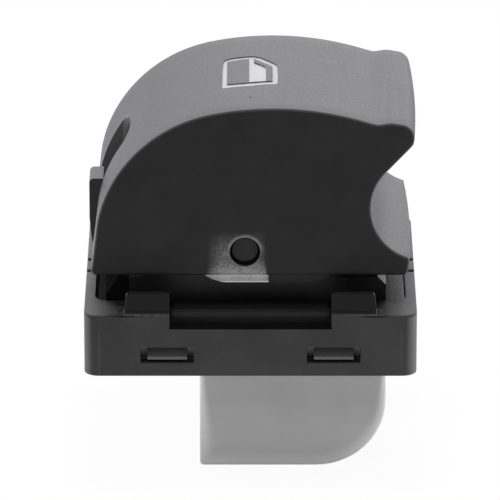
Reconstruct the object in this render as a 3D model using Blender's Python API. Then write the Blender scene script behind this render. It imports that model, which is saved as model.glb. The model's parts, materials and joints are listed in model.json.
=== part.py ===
"""Power window switch: a rocker cap on a pivot tower, snapped into a base frame over a plug connector.

Metres, +Z up. +X points to the rocker's pull lip and +Y to the far side. Z = 0 is the plug's rim.
The sizes below are in millimetres, and heights are counted from the frame's lower edge.
"""
import math

import bmesh
import bpy
from mathutils import Vector

MM = 0.001
SHARP_ANGLE = 35        # degrees between faces that are shaded as an edge

# Fits
SEAT = 0.3              # gap between pieces that seat on each other
RUN = 0.2               # running gap round pivots, plungers and the light guide
MERGE = 0.3             # how far joined shapes reach into each other
THROUGH = 1.0           # how far a cutter runs past the face that it opens

# Base frame
FRAME_LENGTH = 34.0
FRAME_WIDTH = 30.0
FRAME_HEIGHT = 6.6
FRAME_END_WALL = 1.1
FRAME_SIDE_WALL = 1.5
FRAME_CORNER = 1.5
MOUTH_CORNER = 1.3      # inner corners of the opening between the corner shelves
NOTCH_LENGTH = 16.5     # low stretch in the middle of each long wall
TAB_LENGTH = 4.7
TAB_THICKNESS = 1.2
TAB_SETBACK = 0.6
TAB_RISE = 2.3
TAB_CORNER = 0.4
TAB_DRAFT = 0.3         # lean of the tab's outer side, from root to top
TAB_CREST = 0.2         # flat rim along the tab's top
TAB_FALL = 0.6          # drop of the tab's top behind that rim
END_SLIT_WIDTH = 0.7    # two slits in the top of each end wall
END_SLIT_DEPTH = 0.5
END_SLIT_OFFSET = 1.7
WINDOW_LENGTH = 5.45
WINDOW_HEIGHT = 1.75
WINDOW_SILL = 1.35
WINDOW_OFFSET = 8.5     # from the middle, along the long wall

# Connector base
PLATE_THICKNESS = 1.2
PLATE_CORNER = 1.0
PLUG_SETBACK = 1.6      # plug shroud's right end, from the end of the plate
PLUG_LENGTH = 19.25
PLUG_WIDTH = 13.0
PLUG_DEPTH = 13.3
PLUG_WALL = 1.3
PLUG_FLOOR = 0.3        # below the plate
PLUG_BEND = 7.2         # large rounding at the lower right
PLUG_CORNER = 0.4
PLUG_EDGE = 0.35        # less than the corner's radius
LATCH_LENGTH = 6.0
LATCH_HEIGHT = 3.0
LATCH_RISE = 3.4        # latch window's lower edge above the rim
CLIP_WIDTH = 5.0
CLIP_THICKNESS = 1.0
CLIP_NIB = 0.8
CLIP_NIB_HEIGHT = 0.8
POST_SIZE = 2.0
POST_HEIGHT = 0.9

# Terminals
TERMINAL_ROWS = 2
TERMINAL_COLUMNS = 3
TERMINAL_PITCH = 3.0
TERMINAL_ROW_PITCH = 3.8
TERMINAL_WIDTH = 1.2
TERMINAL_THICKNESS = 0.64
TERMINAL_RECESS = 5.0   # tip above the plug's rim
TERMINAL_TIP = 1.0

# Circuit board and what it carries
BOARD_THICKNESS = 1.2
BOARD_CORNER = 1.0
BOARD_ROOM = 0.35       # between the board and the housing's shoulder
LAMP_LENGTH = 2.0
LAMP_WIDTH = 1.4
LAMP_HEIGHT = 0.5
LAMP_LENS_R = 0.55
LAMP_LENS_RISE = 0.3
RESISTOR_COUNT = 3
RESISTOR_LENGTH = 2.0
RESISTOR_WIDTH = 1.25
RESISTOR_HEIGHT = 0.5
RESISTOR_PITCH = 4.0
RESISTOR_INSET = 3.2    # from the board's far edge

# Silicone mat
MAT_ROOM = 1.0          # gap round the mat, in the tower's well
MAT_THICKNESS = 0.7
MAT_CORNER = 1.5
MAT_HOLE_R = 2.2
DOME_R = 3.2
DOME_TOP_R = 2.2
DOME_RISE = 1.6
DOME_WALL = 0.6
PILL_THICKNESS = 0.5

# Plungers
PLUNGER_OFFSET = 6.8    # from the pivot, along X
PLUNGER_R = 1.8
PLUNGER_TOP = 16.2
PLUNGER_COLLAR_R = 2.6
PLUNGER_COLLAR = 0.7
PLUNGER_CHAMFER = 0.4
PLUNGER_TRAVEL = 0.95

# Light guide
GUIDE_R = 1.4
GUIDE_TOP = 23.6
GUIDE_CHAMFER = 0.4
GUIDE_COLLAR_R = 2.2
GUIDE_COLLAR = 1.0

# Inner housing
SHOULDER_THICKNESS = 0.9
HOUSING_RISE = 6.5      # top of the flange
FLANGE_LIP = 0.7
FLANGE_UNDERCUT = 0.7
FLANGE_LEDGE = 0.1      # flange's side, outside the tower's
SKIRT_WALL = 1.2
SKIRT_CORNER = 0.8
HOOK_LENGTH = 4.05
HOOK_HEIGHT = 1.2
HOOK_REACH = 1.4
HOOK_CATCH = 0.3        # upright face of the catch, under its ramp
TOWER_SETBACK = (0.75, 1.7)  # rear and front end of the tower's lower block, from the skirt's ends
TOWER_STEP = 9.0        # top of the long lower block
TOWER_REAR_CUT = (1.3, 1.9)  # upper rear corner, cut back to clear the rocker's end
TOWER_FRONT_CUT = (0.85, 0.85)
TOWER_TOP = 15.0
TURRET_ROOM = (3.6, 1.35)    # room behind and before the turret, inside the rocker
TURRET_SIDE_ROOM = 0.5
TURRET_CORNER = 1.0
TOWER_WALL = 1.3
TUBE_WALL = 1.0

# Pivot
PIVOT_X = -0.56
PIVOT_Z = 12.48
PIVOT_HOLE_R = 1.5
PIVOT_PIN_RECESS = 0.6

# Rear tongue of the housing, which stands in the rocker's slot
TONGUE_WIDTH = 3.8
TONGUE_FACE = -16.65
TONGUE_TOP = 16.8
TONGUE_THICKNESS = 1.45
TONGUE_ROUND = 0.45
TONGUE_LEAN = 0.25      # the face slopes back by this down to the cap's lower edge
TONGUE_JOG = 1.0        # half the height over which the tongue steps outward

# Rocker cap
ROCKER_SETBACK = 2.8    # cheeks, from the frame's long sides
ROCKER_EDGE = 9.88      # lower edge
ROCKER_REAR = -16.3     # X of the rear end, at the lower edge
ROCKER_LIP = 15.95      # X of the front end, at the lower edge
ROCKER_WALL = 1.3
CHEEK_WALL = 1.6
EDGE_ROUND = 0.4
END_ROUND = 0.5         # lower corners of the rocker's ends
NOSE_BOW = 0.3          # nose and lip stand out in the middle of the width
CROWN_CENTRE = (2.3, -3.75)
CROWN_R = 31.6
CROWN_START = -4.0      # X where the crown arc begins
CROWN_END = 11.7
NOSE_DIP = (1.2, -0.3)       # the nose's points are steps from the crown's end
NOSE_BUMP = (2.4, -0.15)
NOSE_CENTRE = (3.4, -1.8)
NOSE_R = 1.53
NOSE_TURN = (90, -45)        # degrees
LIP_FACE = 1.5          # height of the lip's end face
LIP_LEAN = (0.15, 0.25)      # how far that face stands out at its lower and upper edge
FLARE_TOP = (-15.71, 14.9)
SHOULDER_PULL = (5.5, 6.8)   # handle lengths of the shoulder curve
HOLLOW_CENTRE = (17.85, 17.1)
HOLLOW_R = 5.6
HOLLOW_TURN = (135, 252)     # degrees
HOLLOW_BACK_TURN = (130, 242)
SLOT_WIDTH = 7.6
SLOT_START = -13.4
SLOT_ARCH = 1.05
LOBE_START = -4.4
LOBE_END = 8.1
LOBE_DROP = 0.7
LOBE_BEND = 1.6         # length of the lobe's rounded ends
LOBE_SETBACK = 0.1      # from the cheek's face
FOOT_THICKNESS = 2.2
FOOT_WIDTH = 5.0
RIB_THICKNESS = 0.9     # cross rib over each foot
RIB_HEIGHT = 1.5

# Facets of the curves
ROUND_STEPS = 3         # small rounded corners
CORNER_STEPS = 8        # frame corners
BEND_STEPS = 14
PLUG_CORNER_STEPS = 4
CIRCLE_SIDES = 32
SMALL_CIRCLE_SIDES = 24
LENS_SIDES = 16
SHOULDER_STEPS = 20
CROWN_STEPS = 16
NOSE_STEPS = 3          # between two points of the nose
NOSE_ARC_STEPS = 5
HOLLOW_STEPS = 24
SLOT_STEPS = 12
LOBE_STEPS = 5
WIDTH_STEPS = 8         # across the rocker
BEVEL_SEGMENTS = 2

# Worked out from the sizes above
BASE = PLUG_DEPTH       # height of the frame's lower edge above the plug's rim
HALF_LENGTH = FRAME_LENGTH / 2
HALF_WIDTH = FRAME_WIDTH / 2
WELL_X = HALF_LENGTH - FRAME_END_WALL
WELL_Y = HALF_WIDTH - FRAME_SIDE_WALL
INNER_X = WELL_X - SEAT
INNER_Y = WELL_Y - SEAT
ROCKER_HALF = HALF_WIDTH - ROCKER_SETBACK
TOWER_HALF = ROCKER_HALF - CHEEK_WALL - TURRET_SIDE_ROOM
FLANGE_HALF = TOWER_HALF + FLANGE_LEDGE
SHELF_EDGE = FLANGE_HALF + SEAT
NOTCH_HALF = NOTCH_LENGTH / 2
SKIRT_LOW = PLATE_THICKNESS + SEAT
CLIP_BACK = INNER_X - SKIRT_WALL - SEAT
BOARD_HALF_LENGTH = CLIP_BACK - CLIP_THICKNESS - SEAT
BOARD_HALF_WIDTH = INNER_Y - SKIRT_WALL - SEAT
BOARD_LOW = PLATE_THICKNESS + POST_HEIGHT + SEAT
BOARD_TOP = BOARD_LOW + BOARD_THICKNESS
SHOULDER_UNDER = BOARD_TOP + BOARD_ROOM
SHOULDER_TOP = SHOULDER_UNDER + SHOULDER_THICKNESS
DECK_UNDER = SHOULDER_TOP + SEAT
TAB_ROOT = (DECK_UNDER + FRAME_HEIGHT) / 2
TAB_TOP = FRAME_HEIGHT + TAB_RISE
RESISTOR_ROW = BOARD_HALF_WIDTH - RESISTOR_INSET
LAMP_TOP = BOARD_TOP + SEAT + LAMP_HEIGHT
MAT_LOW = BOARD_TOP + SEAT
MAT_TOP = MAT_LOW + MAT_THICKNESS
DOME_TOP = MAT_TOP + DOME_RISE
PLUNGER_LOW = DOME_TOP + SEAT
PLUNGER_X = (PIVOT_X - PLUNGER_OFFSET, PIVOT_X + PLUNGER_OFFSET)
TUBE_LOW = PLUNGER_LOW + PLUNGER_COLLAR + PLUNGER_TRAVEL + SEAT
TOWER_CEILING = TOWER_STEP - TOWER_WALL
TOWER_START = TOWER_SETBACK[0] - INNER_X
TOWER_END = INNER_X - TOWER_SETBACK[1]
TOWER_WELL = (TOWER_START + TOWER_WALL, TOWER_END - TOWER_WALL)
TURRET_START = ROCKER_REAR + ROCKER_WALL + TURRET_ROOM[0]
TURRET_END = HOLLOW_CENTRE[0] - HOLLOW_R - ROCKER_WALL - TURRET_ROOM[1]
MAT_START, MAT_END = TOWER_WELL[0] + MAT_ROOM, TOWER_WELL[1] - MAT_ROOM
MAT_HALF_WIDTH = TOWER_HALF - TOWER_WALL - MAT_ROOM
PLUG_END = INNER_X - PLUG_SETBACK
PLUG_START = PLUG_END - PLUG_LENGTH
PLUG_MIDDLE = PLUG_END - PLUG_LENGTH / 2


def clear_scene():
    for old in list(bpy.data.objects):
        bpy.data.objects.remove(old)


def material(name, colour, roughness, metallic=0.0):
    made = bpy.data.materials.new(name)
    made.use_nodes = True
    shader = made.node_tree.nodes["Principled BSDF"]
    shader.inputs["Base Color"].default_value = (*colour, 1.0)
    shader.inputs["Roughness"].default_value = roughness
    shader.inputs["Metallic"].default_value = metallic
    return made


def mesh_object(name, mesh, finish=None):
    bmesh.ops.recalc_face_normals(mesh, faces=mesh.faces)
    data = bpy.data.meshes.new(name)
    mesh.to_mesh(data)
    mesh.free()
    if finish:
        data.materials.append(finish)
    made = bpy.data.objects.new(name, data)
    bpy.context.scene.collection.objects.link(made)
    return made


def extruded(name, outline, low, high, along="Z", finish=None):
    """Closed solid whose outline lies across the axis `along`. Every Z counts from the frame's lower edge."""
    place = {
        "X": lambda a, b, h: (h, a, b + BASE),
        "Y": lambda a, b, h: (a, h, b + BASE),
        "Z": lambda a, b, h: (a, b, h + BASE),
    }[along]
    mesh = bmesh.new()
    ends = [[mesh.verts.new(Vector(place(a, b, h)) * MM) for a, b in outline] for h in (low, high)]
    mesh.faces.new(ends[0])
    mesh.faces.new(ends[1])
    for i in range(len(outline)):
        mesh.faces.new((ends[0][i - 1], ends[0][i], ends[1][i], ends[1][i - 1]))
    return mesh_object(name, mesh, finish)


def box(name, xs, ys, zs, finish=None):
    outline = [(xs[0], ys[0]), (xs[1], ys[0]), (xs[1], ys[1]), (xs[0], ys[1])]
    return extruded(name, outline, zs[0], zs[1], "Z", finish)


def turned(name, centre, profile, sides=CIRCLE_SIDES, finish=None):
    """Solid of revolution about the vertical line through centre. The profile lists (radius, height)."""
    mesh = bmesh.new()
    rings = []
    for radius, height in profile:
        ring = []
        for i in range(sides):
            turn = 2 * math.pi * i / sides
            x = centre[0] + radius * math.cos(turn)
            y = centre[1] + radius * math.sin(turn)
            ring.append(mesh.verts.new(Vector((x, y, height + BASE)) * MM))
        rings.append(ring)
    for low, high in zip(rings, rings[1:]):
        for i in range(sides):
            mesh.faces.new((low[i - 1], low[i], high[i], high[i - 1]))
    mesh.faces.new(rings[0])
    mesh.faces.new(rings[-1])
    return mesh_object(name, mesh, finish)


def circle(centre, radius, sides=CIRCLE_SIDES):
    turns = [2 * math.pi * i / sides for i in range(sides)]
    return [(centre[0] + radius * math.cos(t), centre[1] + radius * math.sin(t)) for t in turns]


def arc(centre, radius, start, end, steps):
    """Points from the start angle to the end angle, in degrees."""
    points = []
    for i in range(steps + 1):
        turn = math.radians(start + (end - start) * i / steps)
        points.append((centre[0] + radius * math.cos(turn), centre[1] + radius * math.sin(turn)))
    return points


def rounded_rectangle(xs, ys, radii, steps=ROUND_STEPS):
    """Outline with its own radius at each corner, from the lower left, anticlockwise."""
    corners = [(xs[0], ys[0], 1, 1), (xs[1], ys[0], -1, 1), (xs[1], ys[1], -1, -1), (xs[0], ys[1], 1, -1)]
    points = []
    for (x, y, sx, sy), radius, start in zip(corners, radii, (180, 270, 0, 90)):
        if radius:
            points += arc((x + sx * radius, y + sy * radius), radius, start, start + 90, steps)
        else:
            points.append((x, y))
    return points


def boolean(target, tool, operation):
    tool.hide_render = True
    tool.display_type = "WIRE"
    change = target.modifiers.new(tool.name, "BOOLEAN")
    change.operation = operation
    change.solver = "EXACT"
    change.object = tool


def cut(target, *tools):
    for tool in tools:
        boolean(target, tool, "DIFFERENCE")


def weld(target, *tools):
    for tool in tools:
        boolean(target, tool, "UNION")


def set_origin(made, x, y, z):
    """Moves the object's origin, and so its joint axis, without moving its shape."""
    point = Vector((x, y, z + BASE)) * MM
    for vertex in made.data.vertices:
        vertex.co -= point
    made.location = point


def both(value):
    return (-value, value)


# Base frame

def base_frame(finish):
    corners = [FRAME_CORNER] * 4
    frame = extruded(
        "base_frame",
        rounded_rectangle(both(HALF_LENGTH), both(HALF_WIDTH), corners, CORNER_STEPS),
        0, FRAME_HEIGHT, finish=finish,
    )
    for i, (x, y) in enumerate((x, y) for x in both(1) for y in both(1)):
        near = y * (HALF_WIDTH - TAB_SETBACK)
        weld(frame, tab(f"frame_tab_{i}", x, sorted((near, near - y * TAB_THICKNESS))))
    mouth = rounded_rectangle(both(WELL_X), both(SHELF_EDGE), [MOUTH_CORNER] * 4)
    above = FRAME_HEIGHT + THROUGH
    cut(
        frame,
        box("frame_well", both(WELL_X), both(WELL_Y), (-THROUGH, DECK_UNDER)),
        extruded("frame_mouth", mouth, DECK_UNDER - THROUGH, above),
        box("frame_notch", both(NOTCH_HALF), both(HALF_WIDTH + THROUGH), (DECK_UNDER, above)),
        *(tab_fall(f"tab_fall_{i}", side) for i, side in enumerate(both(1))),
    )
    for i, (x, y) in enumerate((x, y) for x in both(1) for y in both(END_SLIT_OFFSET)):
        xs = sorted((x * (WELL_X - THROUGH), x * (HALF_LENGTH + THROUGH)))
        ys = (y - END_SLIT_WIDTH / 2, y + END_SLIT_WIDTH / 2)
        cut(frame, box(f"end_slit_{i}", xs, ys, (FRAME_HEIGHT - END_SLIT_DEPTH, above)))
    for i, x in enumerate(both(WINDOW_OFFSET)):
        xs = (x - WINDOW_LENGTH / 2, x + WINDOW_LENGTH / 2)
        zs = (WINDOW_SILL, WINDOW_SILL + WINDOW_HEIGHT)
        cut(frame, box(f"frame_window_{i}", xs, both(HALF_WIDTH + THROUGH), zs))
    return frame


def tab(name, side, ys):
    """Upright tab with rounded upper corners, rooted in the frame's deck. Its outer side leans inward."""
    outline = []
    for x, z in rounded_rectangle((0, TAB_LENGTH), (TAB_ROOT, TAB_TOP), (0, 0, TAB_CORNER, TAB_CORNER)):
        lean = TAB_DRAFT * (z - TAB_ROOT) / (TAB_TOP - TAB_ROOT) if x > TAB_LENGTH / 2 else 0
        outline.append((side * (NOTCH_HALF + x - lean), z))
    return extruded(name, outline, *ys, "Y")


def tab_fall(name, side):
    """Cutter that slopes the tabs' tops down behind their rims, on one long side."""
    rim = HALF_WIDTH - TAB_SETBACK - TAB_CREST
    slope = TAB_FALL / (TAB_THICKNESS - TAB_CREST)
    front, back = rim + TAB_CREST / 2, rim - TAB_THICKNESS
    outline = [
        (front, TAB_TOP + slope * (front - rim)), (back, TAB_TOP + slope * (back - rim)),
        (back, TAB_TOP + THROUGH), (front, TAB_TOP + THROUGH),
    ]
    return extruded(name, [(side * y, z) for y, z in outline], *both(HALF_LENGTH), "X")


# Connector base

def connector_base(finish, terminals):
    base = extruded(
        "connector_base",
        rounded_rectangle(both(INNER_X), both(INNER_Y), [PLATE_CORNER] * 4),
        0, PLATE_THICKNESS, finish=finish,
    )
    half = PLUG_WIDTH / 2
    rim, root = -PLUG_DEPTH, PLATE_THICKNESS / 2
    outline = arc((PLUG_START + PLUG_CORNER, rim + PLUG_CORNER), PLUG_CORNER, 180, 270, PLUG_CORNER_STEPS)
    outline += arc((PLUG_END - PLUG_BEND, rim + PLUG_BEND), PLUG_BEND, 270, 360, BEND_STEPS)
    outline += [(PLUG_END, root), (PLUG_START, root)]
    shroud = extruded("plug_shroud", outline, *both(half), "Y")
    rounding = shroud.modifiers.new("rounding", "BEVEL")
    rounding.width = PLUG_EDGE * MM
    rounding.segments = BEVEL_SEGMENTS
    rounding.limit_method = "ANGLE"
    weld(base, shroud)
    for i, (x, y) in enumerate((x, y) for x in both(1) for y in both(1)):
        xs = sorted((x * BOARD_HALF_LENGTH, x * (BOARD_HALF_LENGTH - POST_SIZE)))
        ys = sorted((y * BOARD_HALF_WIDTH, y * (BOARD_HALF_WIDTH - POST_SIZE)))
        zs = (PLATE_THICKNESS / 2, PLATE_THICKNESS + POST_HEIGHT)
        weld(base, box(f"board_post_{i}", xs, ys, zs))
    for i, side in enumerate(both(1)):
        weld(base, clip(f"base_clip_{i}", side))
    inside = (PLUG_START + PLUG_WALL, PLUG_END - PLUG_WALL)
    latch = (PLUG_MIDDLE - LATCH_LENGTH / 2, PLUG_MIDDLE + LATCH_LENGTH / 2)
    latch_low = LATCH_RISE - PLUG_DEPTH
    cut(
        base,
        box("plug_socket", inside, both(half - PLUG_WALL), (-PLUG_DEPTH - THROUGH, -PLUG_FLOOR)),
        box(
            "plug_latch", latch, (half - PLUG_WALL - THROUGH, half + THROUGH),
            (latch_low, latch_low + LATCH_HEIGHT),
        ),
    )
    for i, (x, y) in enumerate(terminals):
        cut(base, terminal_slot(f"base_slot_{i}", x, y, (-PLUG_FLOOR - THROUGH, PLATE_THICKNESS + THROUGH)))
    return base


def clip(name, side):
    """Snap arm at one end of the base, its nib in the housing's skirt."""
    front = CLIP_BACK - CLIP_THICKNESS
    top = SHOULDER_UNDER - SEAT
    nib = top - CLIP_NIB_HEIGHT
    outline = [
        (front, PLATE_THICKNESS / 2), (CLIP_BACK, PLATE_THICKNESS / 2),
        (CLIP_BACK, nib), (CLIP_BACK + CLIP_NIB, nib), (CLIP_BACK, top), (front, top),
    ]
    return extruded(name, [(side * x, z) for x, z in outline], *both(CLIP_WIDTH / 2), "Y")


# Terminals

def terminal_places():
    """(x, y) of each terminal, row by row."""
    rows = [(r - (TERMINAL_ROWS - 1) / 2) * TERMINAL_ROW_PITCH for r in range(TERMINAL_ROWS)]
    columns = [(c - (TERMINAL_COLUMNS - 1) / 2) * TERMINAL_PITCH for c in range(TERMINAL_COLUMNS)]
    return [(PLUG_MIDDLE + x, y) for y in rows for x in columns]


def terminal_slot(name, x, y, zs):
    wide = TERMINAL_WIDTH / 2 + RUN
    thick = TERMINAL_THICKNESS / 2 + RUN
    return box(name, (x - wide, x + wide), (y - thick, y + thick), zs)


def terminal(name, x, y, finish):
    """Flat blade with a narrowed tip, its upper end in the board."""
    half = TERMINAL_WIDTH / 2
    tip = TERMINAL_RECESS - PLUG_DEPTH
    outline = [
        (x - half / 2, tip), (x + half / 2, tip), (x + half, tip + TERMINAL_TIP),
        (x + half, BOARD_TOP), (x - half, BOARD_TOP), (x - half, tip + TERMINAL_TIP),
    ]
    ys = (y - TERMINAL_THICKNESS / 2, y + TERMINAL_THICKNESS / 2)
    return extruded(name, outline, *ys, "Y", finish)


# Circuit board

def circuit_board(finish, terminals):
    outline = rounded_rectangle(both(BOARD_HALF_LENGTH), both(BOARD_HALF_WIDTH), [BOARD_CORNER] * 4)
    board = extruded("circuit_board", outline, BOARD_LOW, BOARD_TOP, finish=finish)
    for i, (x, y) in enumerate(terminals):
        cut(board, terminal_slot(f"board_hole_{i}", x, y, (BOARD_LOW - THROUGH, BOARD_TOP + THROUGH)))
    return board


def lamp(finish):
    """Small light under the guide, on the upper side of the board."""
    xs = (PIVOT_X - LAMP_LENGTH / 2, PIVOT_X + LAMP_LENGTH / 2)
    made = box("lamp", xs, both(LAMP_WIDTH / 2), (LAMP_TOP - LAMP_HEIGHT, LAMP_TOP), finish)
    lens = [
        (LAMP_LENS_R, LAMP_TOP - LAMP_HEIGHT / 2), (LAMP_LENS_R, LAMP_TOP),
        (LAMP_LENS_R / 2, LAMP_TOP + LAMP_LENS_RISE),
    ]
    weld(made, turned("lamp_lens", (PIVOT_X, 0), lens, LENS_SIDES))
    return made


def resistor(name, x, finish):
    """Coding resistor under the board."""
    xs = (x - RESISTOR_LENGTH / 2, x + RESISTOR_LENGTH / 2)
    ys = (RESISTOR_ROW - RESISTOR_WIDTH / 2, RESISTOR_ROW + RESISTOR_WIDTH / 2)
    return box(name, xs, ys, (BOARD_LOW - SEAT - RESISTOR_HEIGHT, BOARD_LOW - SEAT), finish)


# Silicone mat, pills and plungers

def contact_mat(finish):
    mat = extruded(
        "contact_mat",
        rounded_rectangle((MAT_START, MAT_END), both(MAT_HALF_WIDTH), [MAT_CORNER] * 4, CORNER_STEPS),
        MAT_LOW, MAT_TOP, finish=finish,
    )
    for i, x in enumerate(PLUNGER_X):
        outside = [(DOME_R, MAT_TOP - MAT_THICKNESS / 2), (DOME_R, MAT_TOP), (DOME_TOP_R, DOME_TOP)]
        weld(mat, turned(f"dome_{i}", (x, 0), outside))
        inside = [
            (DOME_R - DOME_WALL, MAT_LOW - THROUGH), (DOME_R - DOME_WALL, MAT_TOP),
            (DOME_TOP_R - DOME_WALL, DOME_TOP - DOME_WALL),
        ]
        cut(mat, turned(f"dome_hollow_{i}", (x, 0), inside))
    hole = extruded("mat_hole", circle((PIVOT_X, 0), MAT_HOLE_R), MAT_LOW - THROUGH, MAT_TOP + THROUGH)
    cut(mat, hole)
    return mat


def pill(name, x, finish):
    """Conductive disc under the dome's roof."""
    top = DOME_TOP - DOME_WALL - SEAT
    radius = DOME_TOP_R - DOME_WALL - SEAT / 2
    disc = circle((x, 0), radius, SMALL_CIRCLE_SIDES)
    made = extruded(name, disc, top - PILL_THICKNESS, top, finish=finish)
    set_origin(made, x, 0, top)
    return made


def plunger(name, x, finish):
    collar_top = PLUNGER_LOW + PLUNGER_COLLAR
    profile = [
        (PLUNGER_COLLAR_R, PLUNGER_LOW), (PLUNGER_COLLAR_R, collar_top), (PLUNGER_R, collar_top),
        (PLUNGER_R, PLUNGER_TOP - PLUNGER_CHAMFER), (PLUNGER_R - PLUNGER_CHAMFER, PLUNGER_TOP),
    ]
    made = turned(name, (x, 0), profile, SMALL_CIRCLE_SIDES, finish)
    set_origin(made, x, 0, PLUNGER_TOP)
    return made


def light_guide(finish):
    low = LAMP_TOP + LAMP_LENS_RISE + SEAT
    seat = TOWER_TOP + SEAT
    profile = [
        (GUIDE_R, low), (GUIDE_R, seat), (GUIDE_COLLAR_R, seat), (GUIDE_COLLAR_R, seat + GUIDE_COLLAR),
        (GUIDE_R, seat + GUIDE_COLLAR), (GUIDE_R, GUIDE_TOP - GUIDE_CHAMFER),
        (GUIDE_R - GUIDE_CHAMFER, GUIDE_TOP),
    ]
    return turned("light_guide", (PIVOT_X, 0), profile, SMALL_CIRCLE_SIDES, finish)


# Inner housing with the pivot tower

def inner_housing(finish):
    skirt = rounded_rectangle(both(INNER_X), both(INNER_Y), [SKIRT_CORNER] * 4)
    housing = extruded("inner_housing", skirt, SKIRT_LOW, SHOULDER_TOP, finish=finish)
    root = SHOULDER_TOP - SHOULDER_THICKNESS / 2
    lip_low = HOUSING_RISE - FLANGE_LIP
    notch = both(NOTCH_HALF - SEAT)
    flange = rounded_rectangle(both(INNER_X), both(FLANGE_HALF), [MOUTH_CORNER - SEAT] * 4)
    weld(
        housing,
        extruded("flange", flange, root, HOUSING_RISE),
        box("flange_step", notch, both(INNER_Y - FLANGE_UNDERCUT), (root, lip_low + FLANGE_LIP / 2)),
        box("flange_lip", notch, both(INNER_Y), (lip_low, HOUSING_RISE)),
        tower_block(),
        extruded(
            "turret",
            rounded_rectangle((TURRET_START, TURRET_END), both(TOWER_HALF), [TURRET_CORNER] * 4),
            TOWER_STEP - MERGE, TOWER_TOP,
        ),
        extruded(
            "pivot_pins", circle((PIVOT_X, PIVOT_Z), PIVOT_HOLE_R - RUN),
            *both(ROCKER_HALF - PIVOT_PIN_RECESS), "Y",
        ),
        rear_tongue(),
    )
    inside_y = both(TOWER_HALF - TOWER_WALL)
    cut(
        housing,
        box(
            "skirt_well", both(INNER_X - SKIRT_WALL), both(INNER_Y - SKIRT_WALL),
            (SKIRT_LOW - THROUGH, SHOULDER_UNDER),
        ),
        box(
            "tower_well", TOWER_WELL, inside_y, (SHOULDER_UNDER - THROUGH, TOWER_CEILING),
        ),
        box(
            "turret_well", (TURRET_START + TOWER_WALL, TURRET_END - TOWER_WALL), inside_y,
            (TOWER_CEILING - THROUGH, TOWER_TOP - TOWER_WALL),
        ),
    )
    bores = [(x, PLUNGER_R + RUN, TUBE_LOW) for x in PLUNGER_X] + [(PIVOT_X, GUIDE_R + RUN, TOWER_STEP)]
    for i, (x, bore, low) in enumerate(bores):
        tube = circle((x, 0), bore + TUBE_WALL)
        weld(housing, extruded(f"tube_{i}", tube, low, TOWER_TOP - TOWER_WALL / 2))
    for i, (x, bore, low) in enumerate(bores):
        cut(housing, extruded(f"bore_{i}", circle((x, 0), bore), low - THROUGH, TOWER_TOP + THROUGH))
    for i, x in enumerate(PLUNGER_X):
        room = circle((x, 0), PLUNGER_COLLAR_R + SEAT)
        cut(housing, extruded(f"collar_room_{i}", room, TOWER_CEILING - THROUGH, TUBE_LOW))
    for i, (x, y) in enumerate((x, y) for x in both(WINDOW_OFFSET) for y in both(1)):
        weld(housing, hook(f"hook_{i}", x, y))
    for i, side in enumerate(both(1)):
        xs = sorted((side * (INNER_X - SKIRT_WALL - MERGE), side * (INNER_X + THROUGH)))
        top = SHOULDER_UNDER - SEAT
        zs = (top - CLIP_NIB_HEIGHT - SEAT, top + SEAT / 2)
        cut(housing, box(f"clip_window_{i}", xs, both(CLIP_WIDTH / 2 + SEAT), zs))
    return housing


def tower_block():
    """Long lower block with cut upper end corners."""
    low = HOUSING_RISE - MERGE
    rear, rear_drop = TOWER_REAR_CUT
    front, front_drop = TOWER_FRONT_CUT
    outline = [
        (TOWER_START, low), (TOWER_END, low), (TOWER_END, TOWER_STEP - front_drop),
        (TOWER_END - front, TOWER_STEP), (TOWER_START + rear, TOWER_STEP),
        (TOWER_START, TOWER_STEP - rear_drop),
    ]
    return extruded("tower_block", outline, *both(TOWER_HALF), "Y")


def rear_tongue():
    """Upright tongue that leans out above the frame's end wall."""
    face = TONGUE_FACE
    back = face + TONGUE_THICKNESS
    foot = -INNER_X
    inner = foot + TONGUE_THICKNESS
    outline = [
        (foot, SHOULDER_TOP), (inner, SHOULDER_TOP), (inner, TOWER_STEP - TONGUE_JOG),
        (back, TOWER_STEP + TONGUE_JOG), (back, TONGUE_TOP),
    ]
    outline += arc((face + TONGUE_ROUND, TONGUE_TOP - TONGUE_ROUND), TONGUE_ROUND, 90, 180, ROUND_STEPS)
    outline += [(face, PIVOT_Z), (face + TONGUE_LEAN, ROCKER_EDGE), (foot, HOUSING_RISE)]
    return extruded("rear_tongue", outline, *both(TONGUE_WIDTH / 2), "Y")


def hook(name, x, side):
    """Snap hook for the frame's window: a ramp above a flat catch."""
    root = INNER_Y - SKIRT_WALL / 2
    low = WINDOW_SILL + SEAT
    reach = INNER_Y + HOOK_REACH
    top = low + HOOK_HEIGHT
    outline = [(root, low), (reach, low), (reach, low + HOOK_CATCH), (INNER_Y, top), (root, top)]
    return extruded(name, [(side * y, z) for y, z in outline], x - HOOK_LENGTH / 2, x + HOOK_LENGTH / 2, "X")


# Rocker cap

def bezier(start, start_pull, end_pull, end, steps):
    points = []
    for i in range(steps + 1):
        t = i / steps
        weights = ((1 - t) ** 3, 3 * (1 - t) ** 2 * t, 3 * (1 - t) * t * t, t ** 3)
        knots = (start, start_pull, end_pull, end)
        points.append(tuple(sum(w * k[axis] for w, k in zip(weights, knots)) for axis in (0, 1)))
    return points


def smooth_through(knots, steps):
    """Curve through the knots, from the second to the last but one."""
    points = []
    for a, b, c, d in zip(knots, knots[1:], knots[2:], knots[3:]):
        for i in range(steps):
            t = i / steps
            points.append(tuple(
                b[k] + 0.5 * t * (c[k] - a[k] + t * (2 * a[k] - 5 * b[k] + 4 * c[k] - d[k]
                + t * (3 * (b[k] - c[k]) + d[k] - a[k])))
                for k in (0, 1)
            ))
    points.append(knots[-2])
    return points


def crown_point(x):
    across = x - CROWN_CENTRE[0]
    return (x, CROWN_CENTRE[1] + math.sqrt(CROWN_R ** 2 - across ** 2))


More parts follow.
